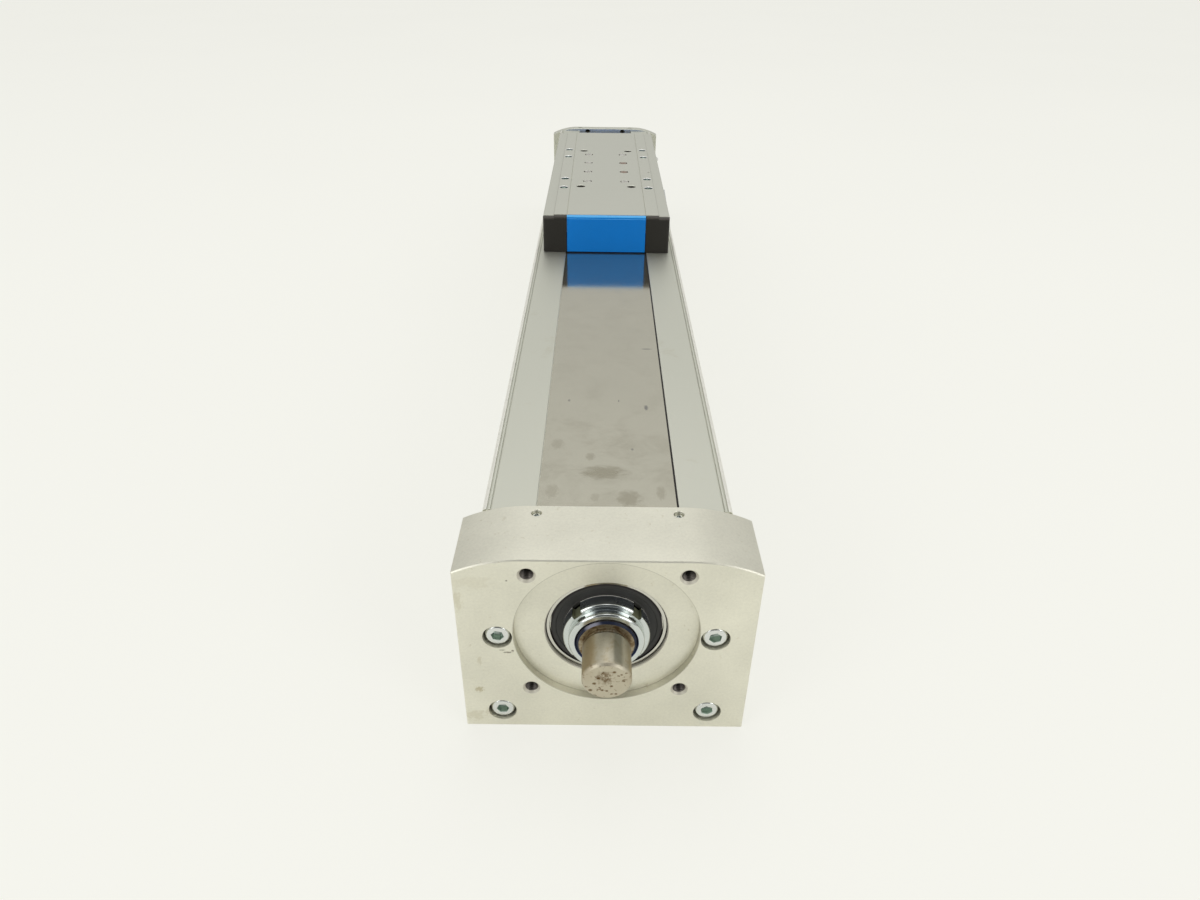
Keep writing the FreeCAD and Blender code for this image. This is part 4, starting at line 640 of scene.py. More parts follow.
# %% [markdown]
# Every node of the frame gets the finish of its own slot first. What stays hidden inside, such as the rails
# or the ball nut, needs nothing more. The visible pieces are then replaced one by one below.

# %% Dress the nodes of the frame
for name, node in nodes.items():
    node.material_slots[0].material = finishes[slot_of[name]]
print("dressed", len(nodes), "nodes in", len(set(slot_of.values())), "finishes")

# %% [markdown]
# A new piece is always ended in the same way: edges sharper than a limit are kept hard and the rest is
# shaded smooth. Then the node it stands for is hidden and the piece is hung on the body that carries it.

# %% Ending a piece
WELD = 1e-6
SHARP_ANGLE = math.radians(32.0)


def finish_mesh(name, bm, finish_names):
    mesh = bpy.data.meshes.new(name)
    bm.to_mesh(mesh)
    bm.free()
    for finish in finish_names:
        mesh.materials.append(finishes[finish])
    mesh.shade_smooth()
    mesh.set_sharp_from_angle(angle=SHARP_ANGLE)
    piece = bpy.data.objects.new(name, mesh)
    scene.collection.objects.link(piece)
    return piece


def carry(piece, node):
    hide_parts(node)
    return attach(piece, body_of[node])


print("smooth below", round(math.degrees(SHARP_ANGLE)), "degrees")

# %% [markdown]
# Milled and moulded parts never have knife edges: a file or the mould breaks them by a few tenths of a
# millimetre, and that thin line catches the light. The solids are loose triangles with sharp edges, so a
# copy is merged, flat areas are joined to single faces again, and every edge that is still sharp gets a
# small bevel. Modelling the covers from nothing would only repeat sizes that the frame has already.

# %% Copies with broken edges
FLAT_ANGLE = math.radians(0.3)
BROKEN_FROM = math.radians(35.0)


def chamfer(bm, edges, width, segments=1):
    bmesh.ops.bevel(bm, geom=edges, offset=width * MM, offset_type="OFFSET", affect="EDGES",
                    segments=segments, profile=0.5, material=-1, clamp_overlap=True)


def sharp_edges(bm):
    return [edge for edge in bm.edges if edge.calc_face_angle(0.0) > BROKEN_FROM]


def score(bm, point):
    """Cut the faces along the plane through the point, square to its direction from the origin."""
    everything = list(bm.verts) + list(bm.edges) + list(bm.faces)
    place = Vector(point) * MM
    bmesh.ops.bisect_plane(bm, geom=everything, dist=WELD, plane_co=place, plane_no=place.normalized())


def broken_copy(node, width, segments=2, finish=None, cut=None, shape=None):
    bm = bmesh.new()
    bm.from_mesh(nodes[node].data)
    bmesh.ops.remove_doubles(bm, verts=bm.verts, dist=WELD)
    bmesh.ops.dissolve_limit(bm, angle_limit=FLAT_ANGLE, verts=bm.verts, edges=bm.edges)
    if cut:
        score(bm, cut)
    if shape:
        shape(bm)
    if width:
        chamfer(bm, sharp_edges(bm), width, segments)
    piece = finish_mesh(node + "_finished", bm, [finish or slot_of[node]])
    weighted = piece.modifiers.new("even_flats", "WEIGHTED_NORMAL")
    weighted.keep_sharp = True
    return carry(piece, node)


print("edges above", round(math.degrees(BROKEN_FROM)), "degrees are broken")

# %% [markdown]
# Some pieces are shaped a little more before their edges are broken. The mouths of the cover's flange holes
# are wider than in the solid, and its bearing seat and clamp holes have chamfers. Rims are found as rings of
# a known centre and radius. A bevel on a rim would be held back by close neighbours, so a rim that has to
# grow is scaled about its own centre.

# %% Shapes of the drive cover
ON_RING = 0.03
FLANGE_HOLES = [(x, z) for x in (-38.9, 38.9) for z in (-38.9, 38.9)]
MOUTH, MOUTH_DEPTH, FLANGE_BORE = 3.9, 0.5, 3.4
WIDER_MOUTH = 4.6
SEAT_FRONT, SEAT_RADIUS, SEAT_BREAK = 4.0, 31.02, 0.5
CLAMP_HOLES = ((-36.2, 37.0, 48.4), (36.2, 37.0, 48.4))
CLAMP_BORE, CLAMP_BREAK = 2.6, 0.35
ALONG_Y, ALONG_Z = Vector((0, 1, 0)), Vector((0, 0, 1))


def ring_edges(bm, centre, axis, radius):
    def on_ring(corner):
        offset = corner.co / MM - Vector(centre)
        level = offset.dot(axis)
        return abs(level) < ON_RING and abs((offset - level * axis).length - radius) < ON_RING

    return [edge for edge in bm.edges if on_ring(edge.verts[0]) and on_ring(edge.verts[1])]


def ring_corners(bm, centre, axis, radius):
    return list({corner for edge in ring_edges(bm, centre, axis, radius) for corner in edge.verts})


def shape_cover(bm):
    wider = WIDER_MOUTH / MOUTH
    for x, z in FLANGE_HOLES:
        rim = ring_corners(bm, (x, 0.0, z), ALONG_Y, MOUTH)
        neck = ring_corners(bm, (x, MOUTH_DEPTH, z), ALONG_Y, FLANGE_BORE)
        about = Matrix.Translation((-x * MM, 0.0, -z * MM))
        bmesh.ops.scale(bm, vec=(wider, 1.0, wider), verts=rim, space=about)
        bmesh.ops.translate(bm, vec=(0.0, (WIDER_MOUTH - MOUTH) * MM, 0.0), verts=neck)
    chamfer(bm, ring_edges(bm, (0.0, SEAT_FRONT, 0.0), ALONG_Y, SEAT_RADIUS), SEAT_BREAK)
    for centre in CLAMP_HOLES:
        chamfer(bm, ring_edges(bm, centre, ALONG_Z, CLAMP_BORE), CLAMP_BREAK)


print("cover:", len(FLANGE_HOLES), "mouths,", len(CLAMP_HOLES), "clamp holes and a seat")

# %% [markdown]
# The nut gets a line near its rear edge, where a strip with a painted highlight is left. The deflectors are
# rounded along the whole rim of their outer face, as a moulding is. The recesses of the plate screws have
# widened rims.

# %% Shapes of the nut, the deflectors and the plate
NUT_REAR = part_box("lock_nut")[1][1] / MM
NUT_LINE = NUT_REAR - 0.7
DEFLECTOR_ROUND, ROUND_STEPS = 2.0, 5
SLIDE_MIDDLE = 611.0
PLATE_HOLES = [(x, SLIDE_MIDDLE + y) for x in (-42.0, 42.0) for y in (-80.2, -47.0, 47.0, 80.2)]
PLATE_FACE, RECESS_BORE, RECESS_BREAK = 79.5, 4.05, 0.5


def shape_nut(bm):
    score(bm, (0.0, NUT_LINE, 0.0))


def shape_deflector(bm):
    places = [corner.co.y for corner in bm.verts]
    outer = min(places) if min(places) < SLIDE_MIDDLE * MM else max(places)
    rim = [edge for edge in sharp_edges(bm) if all(abs(corner.co.y - outer) < WELD for corner in edge.verts)]
    chamfer(bm, rim, DEFLECTOR_ROUND, ROUND_STEPS)


def shape_plate(bm):
    score(bm, (0.0, 0.0, PLATE_FACE - RECESS_BREAK))
    wider = (RECESS_BORE + RECESS_BREAK) / RECESS_BORE
    for x, y in PLATE_HOLES:
        rim = ring_corners(bm, (x, y, PLATE_FACE), ALONG_Z, RECESS_BORE)
        about = Matrix.Translation((-x * MM, -y * MM, 0.0))
        bmesh.ops.scale(bm, vec=(wider, wider, 1.0), verts=rim, space=about)


print("plate:", len(PLATE_HOLES), "recesses; nut line at", round(NUT_LINE, 2))

# %% [markdown]
# Then every visible piece that keeps its solid's form is copied, with the width of its broken edges in
# millimetres. Two pieces are also cut along a line where their finish will change.

# %% Break the edges
BAND_LEVEL = 44.3
BAND_RIGHT = 36.2
ENDS, SIDES = ("front", "rear"), ("left", "right")

broken_table = {
    "saddle": {"width": 0.25},
    "switch_lug": {"width": 0.15},
    "grease_nipple": {"width": 0.1},
    "cover_band_loop": {"width": 0.0},
    "slide_plate": {"width": 0.3, "shape": shape_plate},
    "rear_cover": {"width": 0.15, "finish": "anodised_housing", "cut": (0.0, 0.0, BAND_LEVEL)},
    "housing_profile": {"width": 0.2, "cut": (BAND_RIGHT, 0.0, 0.0)},
    "drive_cover": {"width": 0.12, "shape": shape_cover},
    "lock_nut": {"width": 0.3, "finish": "shaded_nut_zinc", "shape": shape_nut}}
for end in ENDS:
    broken_table["deflector_" + end] = {"width": 0.7, "segments": 3, "shape": shape_deflector}
    for side in SIDES:
        broken_table[f"end_cap_{end}_{side}"] = {"width": 1.2, "segments": 3}
pieces = {node: broken_copy(node, **how) for node, how in broken_table.items()}
for piece in pieces.values():
    print(piece.name, "faces", len(piece.data.polygons))

# %% [markdown]
# Some faces of a piece have another finish than the rest, because a tool cut them later or dirt stays there.
# They could be pieces of their own, but the copies have these faces already. So they are chosen by where
# they lie and where they look, and a later choice wins over an earlier one.

# %% Choosing faces
def give_finish(piece, finish, chosen):
    piece.data.materials.append(finishes[finish])
    slot = len(piece.data.materials) - 1
    faces = [face for face in piece.data.polygons if chosen(face.center / MM, face.normal)]
    for face in faces:
        face.material_index = slot
    print(piece.name, finish, len(faces), "faces")


def near(first, second, holes, reach):
    return any(math.hypot(first - x, second - y) < reach for x, y in holes)


def from_axis(at):
    return math.hypot(at.x, at.z)


LOAD_HOLES = [(x, SLIDE_MIDDLE + y) for x in (-25.2, 25.2) for y in (-75.7, 75.7)]
LOAD_BORE, LOAD_MOUTH = 4.3, 78.8
RINGED_HOLES = [(x, SLIDE_MIDDLE + y) for x in (-19.0, 19.0) for y in (-57.0, -19.0, 19.0, 57.0)]
RUSTY_RINGS = [(19.0, SLIDE_MIDDLE - 19.0), (19.0, SLIDE_MIDDLE + 19.0)]
RINGED_BORE, RING_BORE, RING_SIDE = 2.55, 4.6, 0.74
RING_FLOOR, WALL_TOP = 77.0, 79.35
RECESS_WALL, RECESS_FLOOR = 4.3, 74.8
RIM_REACH, RIM_FLOOR = 4.8, 78.9
print("holes in the plate:", len(LOAD_HOLES), "large,", len(RINGED_HOLES), "ringed")

# %% [markdown]
# The walls of the tapped holes in the plate were cut after the anodising and are painted dark as the shade
# deep in a hole. The centring rings around eight of them are pale with a painted highlight, their sides are
# painted dark as shade, and two have begun to rust. The recesses of the plate screws are painted dark as
# shade and have rims with a painted highlight.

# %% Faces of the plate
def in_ring(at, holes):
    return RING_FLOOR < at.z < WALL_TOP and near(at.x, at.y, holes, RING_BORE)


# painted shade in the holes, on the ring sides and in the screw recesses; painted highlights on the rings
# and rims
plate_faces = (
    ("tapped_hole", lambda at, normal: at.z < LOAD_MOUTH and near(at.x, at.y, LOAD_HOLES, LOAD_BORE)),
    ("tapped_hole", lambda at, normal: at.z < RING_FLOOR and near(at.x, at.y, RINGED_HOLES, RINGED_BORE)),
    ("bored_ring", lambda at, normal: in_ring(at, RINGED_HOLES)),
    ("rusty_ring", lambda at, normal: in_ring(at, RUSTY_RINGS)),
    ("tapped_hole", lambda at, normal: abs(normal.x) > RING_SIDE and in_ring(at, RINGED_HOLES)),
    ("dark_zinc",
     lambda at, normal: RECESS_FLOOR < at.z < WALL_TOP and near(at.x, at.y, PLATE_HOLES, RECESS_WALL)),
    ("bright_rim",
     lambda at, normal: at.z > RIM_FLOOR and 0.3 < normal.z < 0.9
     and near(at.x, at.y, PLATE_HOLES, RIM_REACH)))
for finish, chosen in plate_faces:
    give_finish(pieces["slide_plate"], finish, chosen)

# %% [markdown]
# The drive cover's flange holes are tapped too, with walls painted dark as shade, and their mouths and the
# bearing seat are a little darker than the cover. The housing's outer edges carry a painted highlight, and
# the gap beside the band is painted black as shade. The nut has slots painted dark as shade, a bore painted
# dark blue as shade and a strip with a painted highlight at its rear. The rear cover's inner face is tinted
# with a painted blue reflection, and its two relief holes are painted dark as shade.

# %% Faces of the covers, the housing and the nut
SEAT_REACH = (30.5, 31.6)
OUTER_STRIP = 62.6
BAND_GAP = (BAND_RIGHT, 37.3)
GAP_LEVELS = (44.5, 44.75)
SLOT_BOTTOM, SLOT_TOP = 19.4, 21.4
BLUED_REACH = 16.1
INNER_FACE = 962.6
RELIEF_HOLES, RELIEF_BORE = [(-25.2, 43.4), (25.2, 43.4)], 4.2

# painted shade in holes, gap, slots and bore; painted highlights on edges and the nut's strip; a painted
# blue reflection on the rear cover
own_faces = (
    ("drive_cover", "tapped_hole",
     lambda at, normal: at.y > WIDER_MOUTH - FLANGE_BORE and near(at.x, at.z, FLANGE_HOLES, MOUTH)),
    ("drive_cover", "seat_wall",
     lambda at, normal: -0.95 < normal.y < -0.3 and near(at.x, at.z, FLANGE_HOLES, WIDER_MOUTH)),
    ("drive_cover", "seat_wall",
     lambda at, normal: at.y > SEAT_FRONT and SEAT_REACH[0] < from_axis(at) < SEAT_REACH[1]
     and abs(normal.y) < 0.9),
    ("housing_profile", "pale_edge", lambda at, normal: abs(at.x) > OUTER_STRIP and normal.z > 0.1),
    ("housing_profile", "old_oil",
     lambda at, normal: BAND_GAP[0] < at.x < BAND_GAP[1] and GAP_LEVELS[0] < at.z < GAP_LEVELS[1]),
    ("lock_nut", "slot_zinc",
     lambda at, normal: SLOT_BOTTOM < from_axis(at) < SLOT_TOP and abs(normal.y) < 0.1),
    ("lock_nut", "nut_side", lambda at, normal: from_axis(at) > SLOT_TOP and abs(normal.y) < 0.1),
    ("lock_nut", "bored_ring", lambda at, normal: from_axis(at) > SLOT_TOP and at.y > NUT_LINE),
    ("lock_nut", "blued_bore", lambda at, normal: from_axis(at) < BLUED_REACH and abs(normal.y) < 0.9),
    ("rear_cover", "sawn_face",
     lambda at, normal: normal.y < -0.9 and at.y < INNER_FACE and at.z > BAND_LEVEL),
    ("rear_cover", "old_oil",
     lambda at, normal: at.y > INNER_FACE and near(at.x, at.z, RELIEF_HOLES, RELIEF_BORE)))
for node, finish, chosen in own_faces:
    give_finish(pieces[node], finish, chosen)

# %% [markdown]
# The rounded top edges of the blue end pieces and the dark caps are painted paler than their faces, a
# painted highlight of the light from above. A face belongs to such a rounding if it looks partly along the
# axis and partly up.

# %% Painted highlights on the lips of the moulded ends
def on_round(normal):
    return 0.1 < abs(normal.y) < 0.98


# painted highlights on the rounded lips
for end in ENDS:
    give_finish(pieces["deflector_" + end], "blue_lip",
                lambda at, normal: on_round(normal) and normal.z > 0.4)
    for side in SIDES:
        give_finish(pieces[f"end_cap_{end}_{side}"], "cap_lip",
                    lambda at, normal: on_round(normal) and normal.z > 0.2)

# %% [markdown]
# A socket screw is a stack of rings. A hexagon and a circle lie in the top face and are bridged. The hexagon
# is pulled down to make the socket, and the circle is pulled down ring by ring to make the chamfer, the head
# and the shank.

# %% Building one socket screw
RIM_SEGMENTS = 48
KEY_LIP, KEY_LIP_DEPTH, DRILL_DEPTH = 0.94, 0.3, 0.2


def corners_of(items):
    return [item for item in items if isinstance(item, bmesh.types.BMVert)]


def edges_of(items):
    return [item for item in items if isinstance(item, bmesh.types.BMEdge)]


def grow(bm, ring, widen=1.0, rise=0.0):
    made = bmesh.ops.extrude_edge_only(bm, edges=ring)["geom"]
    fresh = corners_of(made)
    bmesh.ops.scale(bm, vec=(widen, widen, 1.0), verts=fresh)
    bmesh.ops.translate(bm, vec=(0.0, 0.0, rise * MM), verts=fresh)
    return [edge for edge in edges_of(made) if edge.verts[0] in fresh and edge.verts[1] in fresh]


def circle_ring(bm, segments, radius):
    corners = bmesh.ops.create_circle(bm, segments=segments, radius=radius * MM)["verts"]
    return list({edge for corner in corners for edge in corner.link_edges})


def socket_screw(key, key_depth, outline):
    bm = bmesh.new()
    hexagon = circle_ring(bm, 6, key / math.sqrt(3.0))
    bmesh.ops.subdivide_edges(bm, edges=hexagon, cuts=RIM_SEGMENTS // 6 - 1)
    hexagon = list(bm.edges)
    radius, level = outline[0]
    rim = circle_ring(bm, RIM_SEGMENTS, radius)
    bmesh.ops.bridge_loops(bm, edges=hexagon + rim)
    before = set(bm.faces)
    lip = grow(bm, hexagon, widen=KEY_LIP, rise=-KEY_LIP_DEPTH)
    bottom = grow(bm, lip, rise=-key_depth)
    floor_face = bmesh.ops.contextual_create(bm, geom=bottom)["faces"]
    drilled = bmesh.ops.poke(bm, faces=floor_face)["verts"]
    bmesh.ops.translate(bm, vec=(0.0, 0.0, -DRILL_DEPTH * key * MM), verts=drilled)
    for face in set(bm.faces) - before:
        face.material_index = 1
    for next_radius, next_level in outline[1:]:
        rim = grow(bm, rim, widen=next_radius / radius, rise=next_level - level)
        radius, level = next_radius, next_level
    bmesh.ops.contextual_create(bm, geom=rim)
    bmesh.ops.recalc_face_normals(bm, faces=bm.faces)
    return bm


print("screw rims have", RIM_SEGMENTS, "segments")

# %% [markdown]
# One screw of each kind is built and then copied to its places, each turned a little further, as hands leave
# them. A node of the frame holds all its equal screws, so the copies stay in one mesh.

# %% Placing screws
FACING = {"front": Matrix.Rotation(math.radians(90.0), 4, "X"),
          "rear": Matrix.Rotation(math.radians(-90.0), 4, "X"),
          "right": Matrix.Rotation(math.radians(90.0), 4, "Y"), "up": Matrix.Identity(4)}
TURN_STEP = math.radians(17.0)


def repeat(bm, places):
    first = list(bm.verts) + list(bm.edges) + list(bm.faces)
    for place in places[1:]:
        copy = bmesh.ops.duplicate(bm, geom=first)["geom"]
        bmesh.ops.transform(bm, matrix=place, verts=corners_of(copy))
    bmesh.ops.transform(bm, matrix=places[0], verts=corners_of(first))


def screw_places(points, facing):
    turns = [Matrix.Rotation(TURN_STEP * (index + 1), 4, "Z") for index in range(len(points))]
    return [Matrix.Translation(Vector(point) * MM) @ FACING[facing] @ turn
            for point, turn in zip(points, turns)]


# the sockets are partly chromate and partly painted shade
def screws(node, key, key_depth, outline, points, facing, finish=None, socket="socket_steel"):
    bm = socket_screw(key, key_depth, outline)
    repeat(bm, screw_places(points, facing))
    piece = finish_mesh(node + "_turned", bm, [finish or slot_of[node], socket])
    carry(piece, node)
    print(piece.name, len(points), "screws,", len(piece.data.polygons), "faces")


SOCKET_HEAD = ((5.2, 0.0), (5.7, -0.25), (6.3, -1.0), (6.5, -1.6), (6.5, -7.8), (6.3, -8.0), (4.0, -8.0))
COVER_KEY, PLATE_KEY = (6.0, 3.6), (3.0, 1.9)
COVER_POINTS = [(x, z) for x in (-55.0, 55.0) for z in (-2.2, -56.6)]
DRIVE_HEADS, REAR_HEADS = 1.0, 974.0
DRIVE_OUTLINE = SOCKET_HEAD + ((4.0, -59.5), (3.2, -60.5))
DRIVE_POINTS = [(x, DRIVE_HEADS, z) for x, z in COVER_POINTS]
screws("drive_cover_screws", *COVER_KEY, DRIVE_OUTLINE, DRIVE_POINTS, "front")
REAR_OUTLINE = SOCKET_HEAD + ((4.0, -29.0), (3.2, -30.0))
REAR_POINTS = [(x, REAR_HEADS, z) for x, z in COVER_POINTS]
screws("rear_cover_screws", *COVER_KEY, REAR_OUTLINE, REAR_POINTS, "rear")
PLATE_SUNK = 0.2
PLATE_OUTLINE = ((2.9, 0.0), (3.2, -0.2), (3.5, -0.6), (3.5, -3.65), (3.4, -3.8), (2.0, -3.8), (2.0, -25.2),
                 (1.6, -25.7))
PLATE_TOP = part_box("plate_screws")[1][2] / MM - PLATE_SUNK
PLATE_POINTS = [(x, y, PLATE_TOP) for x, y in PLATE_HOLES]
# the sunk heads are painted dark as the shade in their recesses
screws("plate_screws", *PLATE_KEY, PLATE_OUTLINE, PLATE_POINTS, "up", finish="dark_zinc")

# %% [markdown]
# The same stack of rings makes two other kinds of screw. The set screws in the crown have no head at all,
# and the screws of the switch lug have a low domed head.

# %% Set screws and domed screws
SET_TOP = 46.6
SET_KEY, DOME_KEY = (2.5, 1.6), (2.5, 1.1)
SET_OUTLINE = ((2.1, 0.0), (2.5, -0.4), (2.5, -6.9), (1.9, -7.5))
for node, along in (("drive_band_clamp_screws", 37.0), ("rear_band_clamp_screws", 968.5)):
    points = [(x, along, SET_TOP) for x in (-36.2, 36.2)]
    screws(node, *SET_KEY, SET_OUTLINE, points, "up", socket="zinc_steel")
DOME_OUTLINE = ((2.0, 0.0), (2.7, -0.25), (3.2, -0.75), (3.5, -1.5), (3.5, -2.2), (2.0, -2.2), (2.0, -12.2),
                (1.5, -12.7))
LUG_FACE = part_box("switch_lug_screws")[1][0] / MM
LUG_POINTS = [(LUG_FACE, y, 57.0) for y in (479.0, 515.0)]
screws("switch_lug_screws", *DOME_KEY, DOME_OUTLINE, LUG_POINTS, "right")

# %% [markdown]
# The shaft end, the seals and everything else that came off a lathe is half an outline, spun round the axis.
# The frame's own shaft has few sides, because it is long. Spun with many steps, its rim looks round. A
# thread or a helical land is a closed section swept by a spin that also climbs.

# %% Spinning and sweeping
SPIN_STEPS = 96
FULL_TURN = 2.0 * math.pi


def profile(bm, outline, closed):
    corners = [bm.verts.new((radius * MM, along * MM, 0.0)) for radius, along in outline]
    pairs = list(zip(corners, corners[1:])) + ([(corners[-1], corners[0])] if closed else [])
    return corners + [bm.edges.new(pair) for pair in pairs]


def spin_round(bm, outline, closed=False):
    bmesh.ops.spin(bm, geom=profile(bm, outline, closed), cent=(0, 0, 0), axis=(0, 1, 0), angle=FULL_TURN,
                   steps=SPIN_STEPS, use_merge=True)


def sweep_helix(bm, outline, lead, turns, steps_per_turn):
    section = profile(bm, outline, True)
    bmesh.ops.contextual_create(bm, geom=edges_of(section))
    steps = round(turns * steps_per_turn)
    climb = (0.0, lead * turns / steps * MM, 0.0)
    last = bmesh.ops.spin(bm, geom=section, cent=(0, 0, 0), axis=(0, 1, 0), dvec=climb,
                          angle=FULL_TURN * turns, steps=steps)["geom_last"]
    bmesh.ops.contextual_create(bm, geom=edges_of(last))


def close_shell(bm):
    bmesh.ops.remove_doubles(bm, verts=bm.verts, dist=WELD)
    bmesh.ops.recalc_face_normals(bm, faces=bm.faces)


print("a full spin has", SPIN_STEPS, "steps")

# %% [markdown]
# The screw's outline runs from the centre of the shaft's end face to the centre of its rear end: a chamfer,
# two grooves at the root of the shaft, the chamfered thread end, the shoulder, the core between the lands
# and the rear journal. The part inside the housing gets four helical lands.

# %% The ball screw
SCREW_OUTLINE = (
    (0.0, -30.1), (10.8, -30.1), (10.9, -30.0), (11.9, -29.0), (12.0, -28.8), (12.0, -9.6), (10.9, -9.5),
    (10.9, -9.1), (11.9, -8.9), (11.9, -7.6), (10.9, -7.5), (10.9, -7.1), (11.8, -6.9), (11.8, -6.4),
    (13.9, -6.4), (15.0, -5.3), (15.0, 37.8), (18.5, 37.8), (18.5, 45.5), (18.4, 45.5), (18.4, 942.0),
    (10.0, 942.0), (10.0, 960.2), (9.2, 961.0), (0.0, 961.0))
THREAD_END, THREAD_CORE = -5.0, 13.8
LAND = ((18.3, -2.4), (19.2, -2.0), (19.8, -1.5), (20.0, -1.2), (20.0, 1.2), (19.8, 1.5), (19.2, 2.0),
        (18.3, 2.4))
LEAD, STARTS = 40.0, 4
LAND_START, LAND_TURNS, LAND_STEPS = 48.0, 22.2, 24

screw_bm = bmesh.new()
spin_round(screw_bm, SCREW_OUTLINE)
close_shell(screw_bm)
land_bm = bmesh.new()
land_section = [(radius, along + LAND_START) for radius, along in LAND]
sweep_helix(land_bm, land_section, LEAD, LAND_TURNS, LAND_STEPS)
close_shell(land_bm)
repeat(land_bm, [Matrix.Rotation(FULL_TURN * start / STARTS, 4, "Y") for start in range(STARTS)])
land_mesh = bpy.data.meshes.new("lands")
land_bm.to_mesh(land_mesh)
land_bm.free()
screw_bm.from_mesh(land_mesh)
bpy.data.meshes.remove(land_mesh)
ball_screw = carry(finish_mesh("ball_screw_turned", screw_bm, [slot_of["ball_screw"]]), "ball_screw")
# painted shade: the thread end beside the nut, with a painted grey reflection at one place
give_finish(ball_screw, "thread_gap_shade", lambda at, normal: at.y < THREAD_END and from_axis(at) > THREAD_CORE)
print("shaft and screw:", len(ball_screw.data.polygons), "faces")

# %% [markdown]
# Of the two front bearings only the seal and the edge of the outer ring can be seen. Each is a closed
# outline, spun twice: once facing the drive end and once facing the rear. Depths count from the bearing's
# face. The slopes beyond the seal's flat and the ring's flat are painted dark as shade.

# %% Seals and rings of the front bearings
BEARING_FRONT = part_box("drive_bearing_outer_rings")[0][1] / MM
BEARING_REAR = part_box("drive_bearing_outer_rings")[1][1] / MM
SEAL_OUTLINE = ((28.3, 0.75), (27.6, 0.45), (25.9, 0.45), (25.5, 0.75), (22.4, 0.75), (22.0, 0.5),
                (20.7, 0.5), (20.0, 1.0), (20.0, 2.4), (28.3, 2.4))
RING_OUTLINE = ((31.0, 0.35), (30.7, 0.1), (30.4, 0.01), (30.3, 0.0), (28.95, 0.0), (28.85, 0.1),
                (28.8, 0.3), (28.8, 2.8), (26.0, 2.8), (26.0, 15.98), (31.0, 15.98))


def bearing_pieces(name, node, outline, proud, flat):
    bm = bmesh.new()
    spin_round(bm, [(radius, BEARING_FRONT - proud + depth) for radius, depth in outline], closed=True)
    spin_round(bm, [(radius, BEARING_REAR - depth) for radius, depth in outline], closed=True)
    close_shell(bm)
    piece = carry(finish_mesh(name, bm, [slot_of[node]]), node)
    # painted shade: the slopes beyond the flat are dark
    give_finish(piece, "old_oil", lambda at, normal: from_axis(at) > flat)


bearing_pieces("bearing_seals_turned", "drive_bearing_seals", SEAL_OUTLINE, proud=0.3, flat=27.5)
bearing_pieces("bearing_rings_turned", "drive_bearing_outer_rings", RING_OUTLINE, proud=0.0, flat=30.35)

# %% [markdown]
# A tapped hole shows its thread as fine rings of light on its wall. A bump could fake it, but close by the
# rings would have no edge, so each thread is a real helical ridge, swept like the lands of the screw and
# set into its hole.

# %% Threads in the tapped holes
THREAD_STEPS = 20
TOOTH_FOOT, TOOTH_HALF, TOOTH_HEIGHT = 0.15, 0.42, 0.28


def thread(radius, pitch, depth):
    bm = bmesh.new()
    foot = radius + TOOTH_FOOT
    tooth = ((foot, -TOOTH_HALF * pitch), (radius - TOOTH_HEIGHT * pitch, 0.0), (foot, TOOTH_HALF * pitch))
    sweep_helix(bm, tooth, pitch, depth / pitch, THREAD_STEPS)
    close_shell(bm)
    down = Matrix.Rotation(math.radians(-90.0), 3, "X")
    bmesh.ops.rotate(bm, cent=(0, 0, 0), matrix=down, verts=bm.verts)
    return bm


def threads(name, carrier, radius, pitch, depth, points, facing):
    bm = thread(radius, pitch, depth)
    repeat(bm, screw_places(points, facing))
    # the threads are painted dark as the shade inside their holes
    piece = finish_mesh(name, bm, ["tapped_hole"])
    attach(piece, body_of[carrier])
    print(name, len(points), "threads")


# Columns: name, carrier, radius, pitch, depth, places, facing
thread_table = (
    ("flange_threads", "drive_cover", 3.4, 1.25, 12.0, [(x, 1.5, z) for x, z in FLANGE_HOLES], "front"),
    ("load_threads", "slide_plate", 4.25, 1.5, 9.0, [(x, y, 77.4) for x, y in LOAD_HOLES], "up"),
    ("ringed_threads", "slide_plate", 2.5, 1.0, 8.0, [(x, y, 76.5) for x, y in RINGED_HOLES], "up"))
for row in thread_table:
    threads(*row)

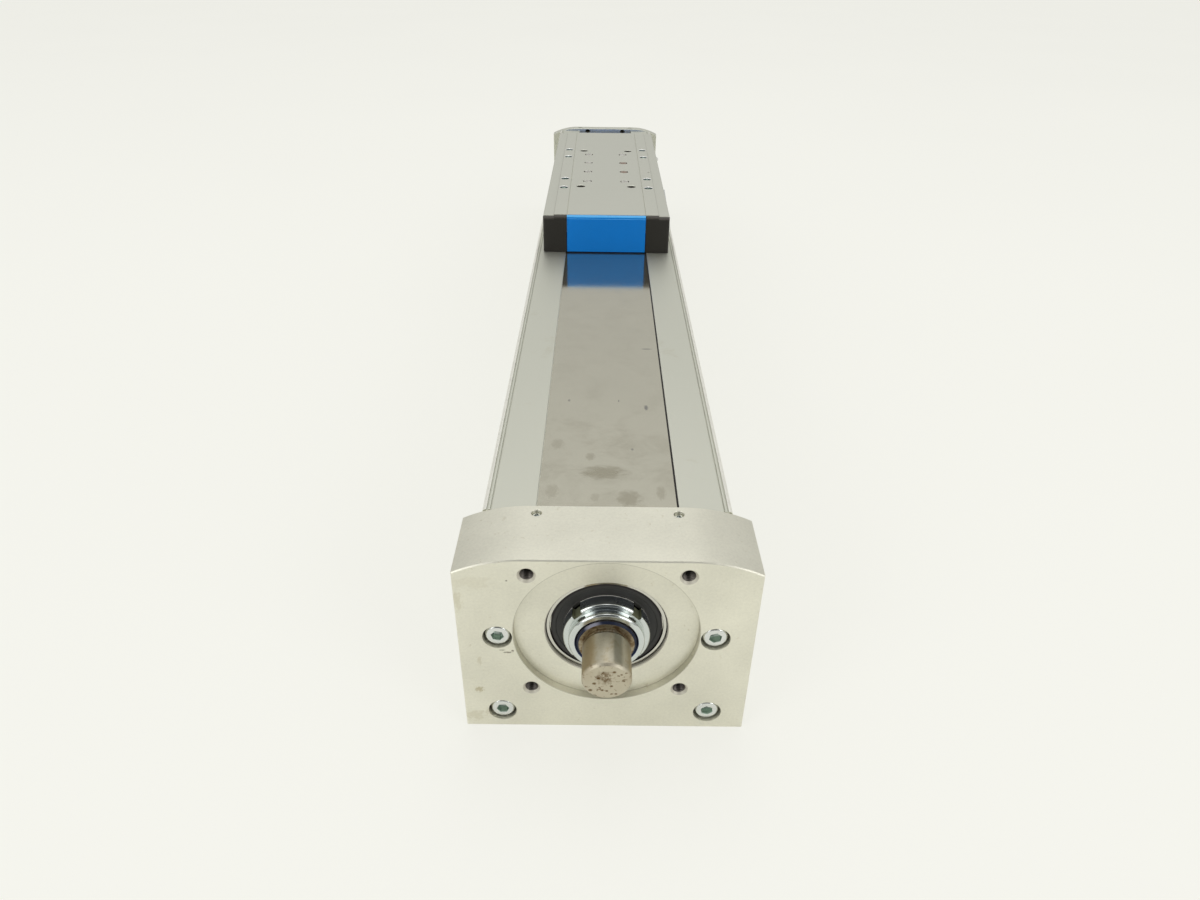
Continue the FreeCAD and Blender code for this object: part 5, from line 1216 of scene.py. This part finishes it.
# %% [markdown]
# The cover band runs from its clamp to the slide. Each run is a strip with corners only at its two ends,
# one at the clamp and one at the slide. At the clamp the strip narrows to a tongue.

# %% Band runs
BAND_LEFT = -36.8
BAND_LOW, BAND_HIGH = 44.6, 44.9
SHOULDER = 2.0
TONGUE_HALF = 31.0


def band_run(node, held, tongue_end, free):
    middle = (BAND_LEFT + BAND_RIGHT) / 2.0
    width = BAND_RIGHT - BAND_LEFT
    inward = math.copysign(1.0, tongue_end - held)
    bm = bmesh.new()
    bmesh.ops.create_cube(bm, size=1.0)
    size = (width * MM, abs(free - held) * MM, (BAND_HIGH - BAND_LOW) * MM)
    bmesh.ops.scale(bm, vec=size, verts=bm.verts)
    centre = Vector((middle, (held + free) / 2.0, (BAND_LOW + BAND_HIGH) / 2.0)) * MM
    bmesh.ops.translate(bm, vec=centre, verts=bm.verts)
    bm.faces.ensure_lookup_table()
    end = max(bm.faces, key=lambda face: face.calc_center_median().y * inward)
    about = Matrix.Translation((-middle * MM, 0.0, 0.0))
    tongue = abs(tongue_end - held) - SHOULDER
    for along, narrow in ((SHOULDER, TONGUE_HALF / (width / 2.0)), (tongue, 1.0)):
        made = bmesh.ops.extrude_face_region(bm, geom=[end])["geom"]
        bmesh.ops.scale(bm, vec=(narrow, 1.0, 1.0), verts=corners_of(made), space=about)
        bmesh.ops.translate(bm, vec=(0.0, inward * along * MM, 0.0), verts=corners_of(made))
        bmesh.ops.delete(bm, geom=[end], context="FACES_ONLY")
        end = next(item for item in made if isinstance(item, bmesh.types.BMFace))
    close_shell(bm)
    piece = finish_mesh(node + "_strip", bm, [slot_of[node]])
    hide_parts(node)
    return piece


front_run = band_run("cover_band_front", held=43.5, tongue_end=34.5, free=460.65)
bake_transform(front_run)
rear_run = band_run("cover_band_rear", held=962.0, tongue_end=971.0, free=761.35)
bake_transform(rear_run)
print("band runs:", len(front_run.data.vertices), "and", len(rear_run.data.vertices), "corners")

# %% [markdown]
# The last step updates the scene.

# %% Update the scene
bpy.context.view_layer.update()
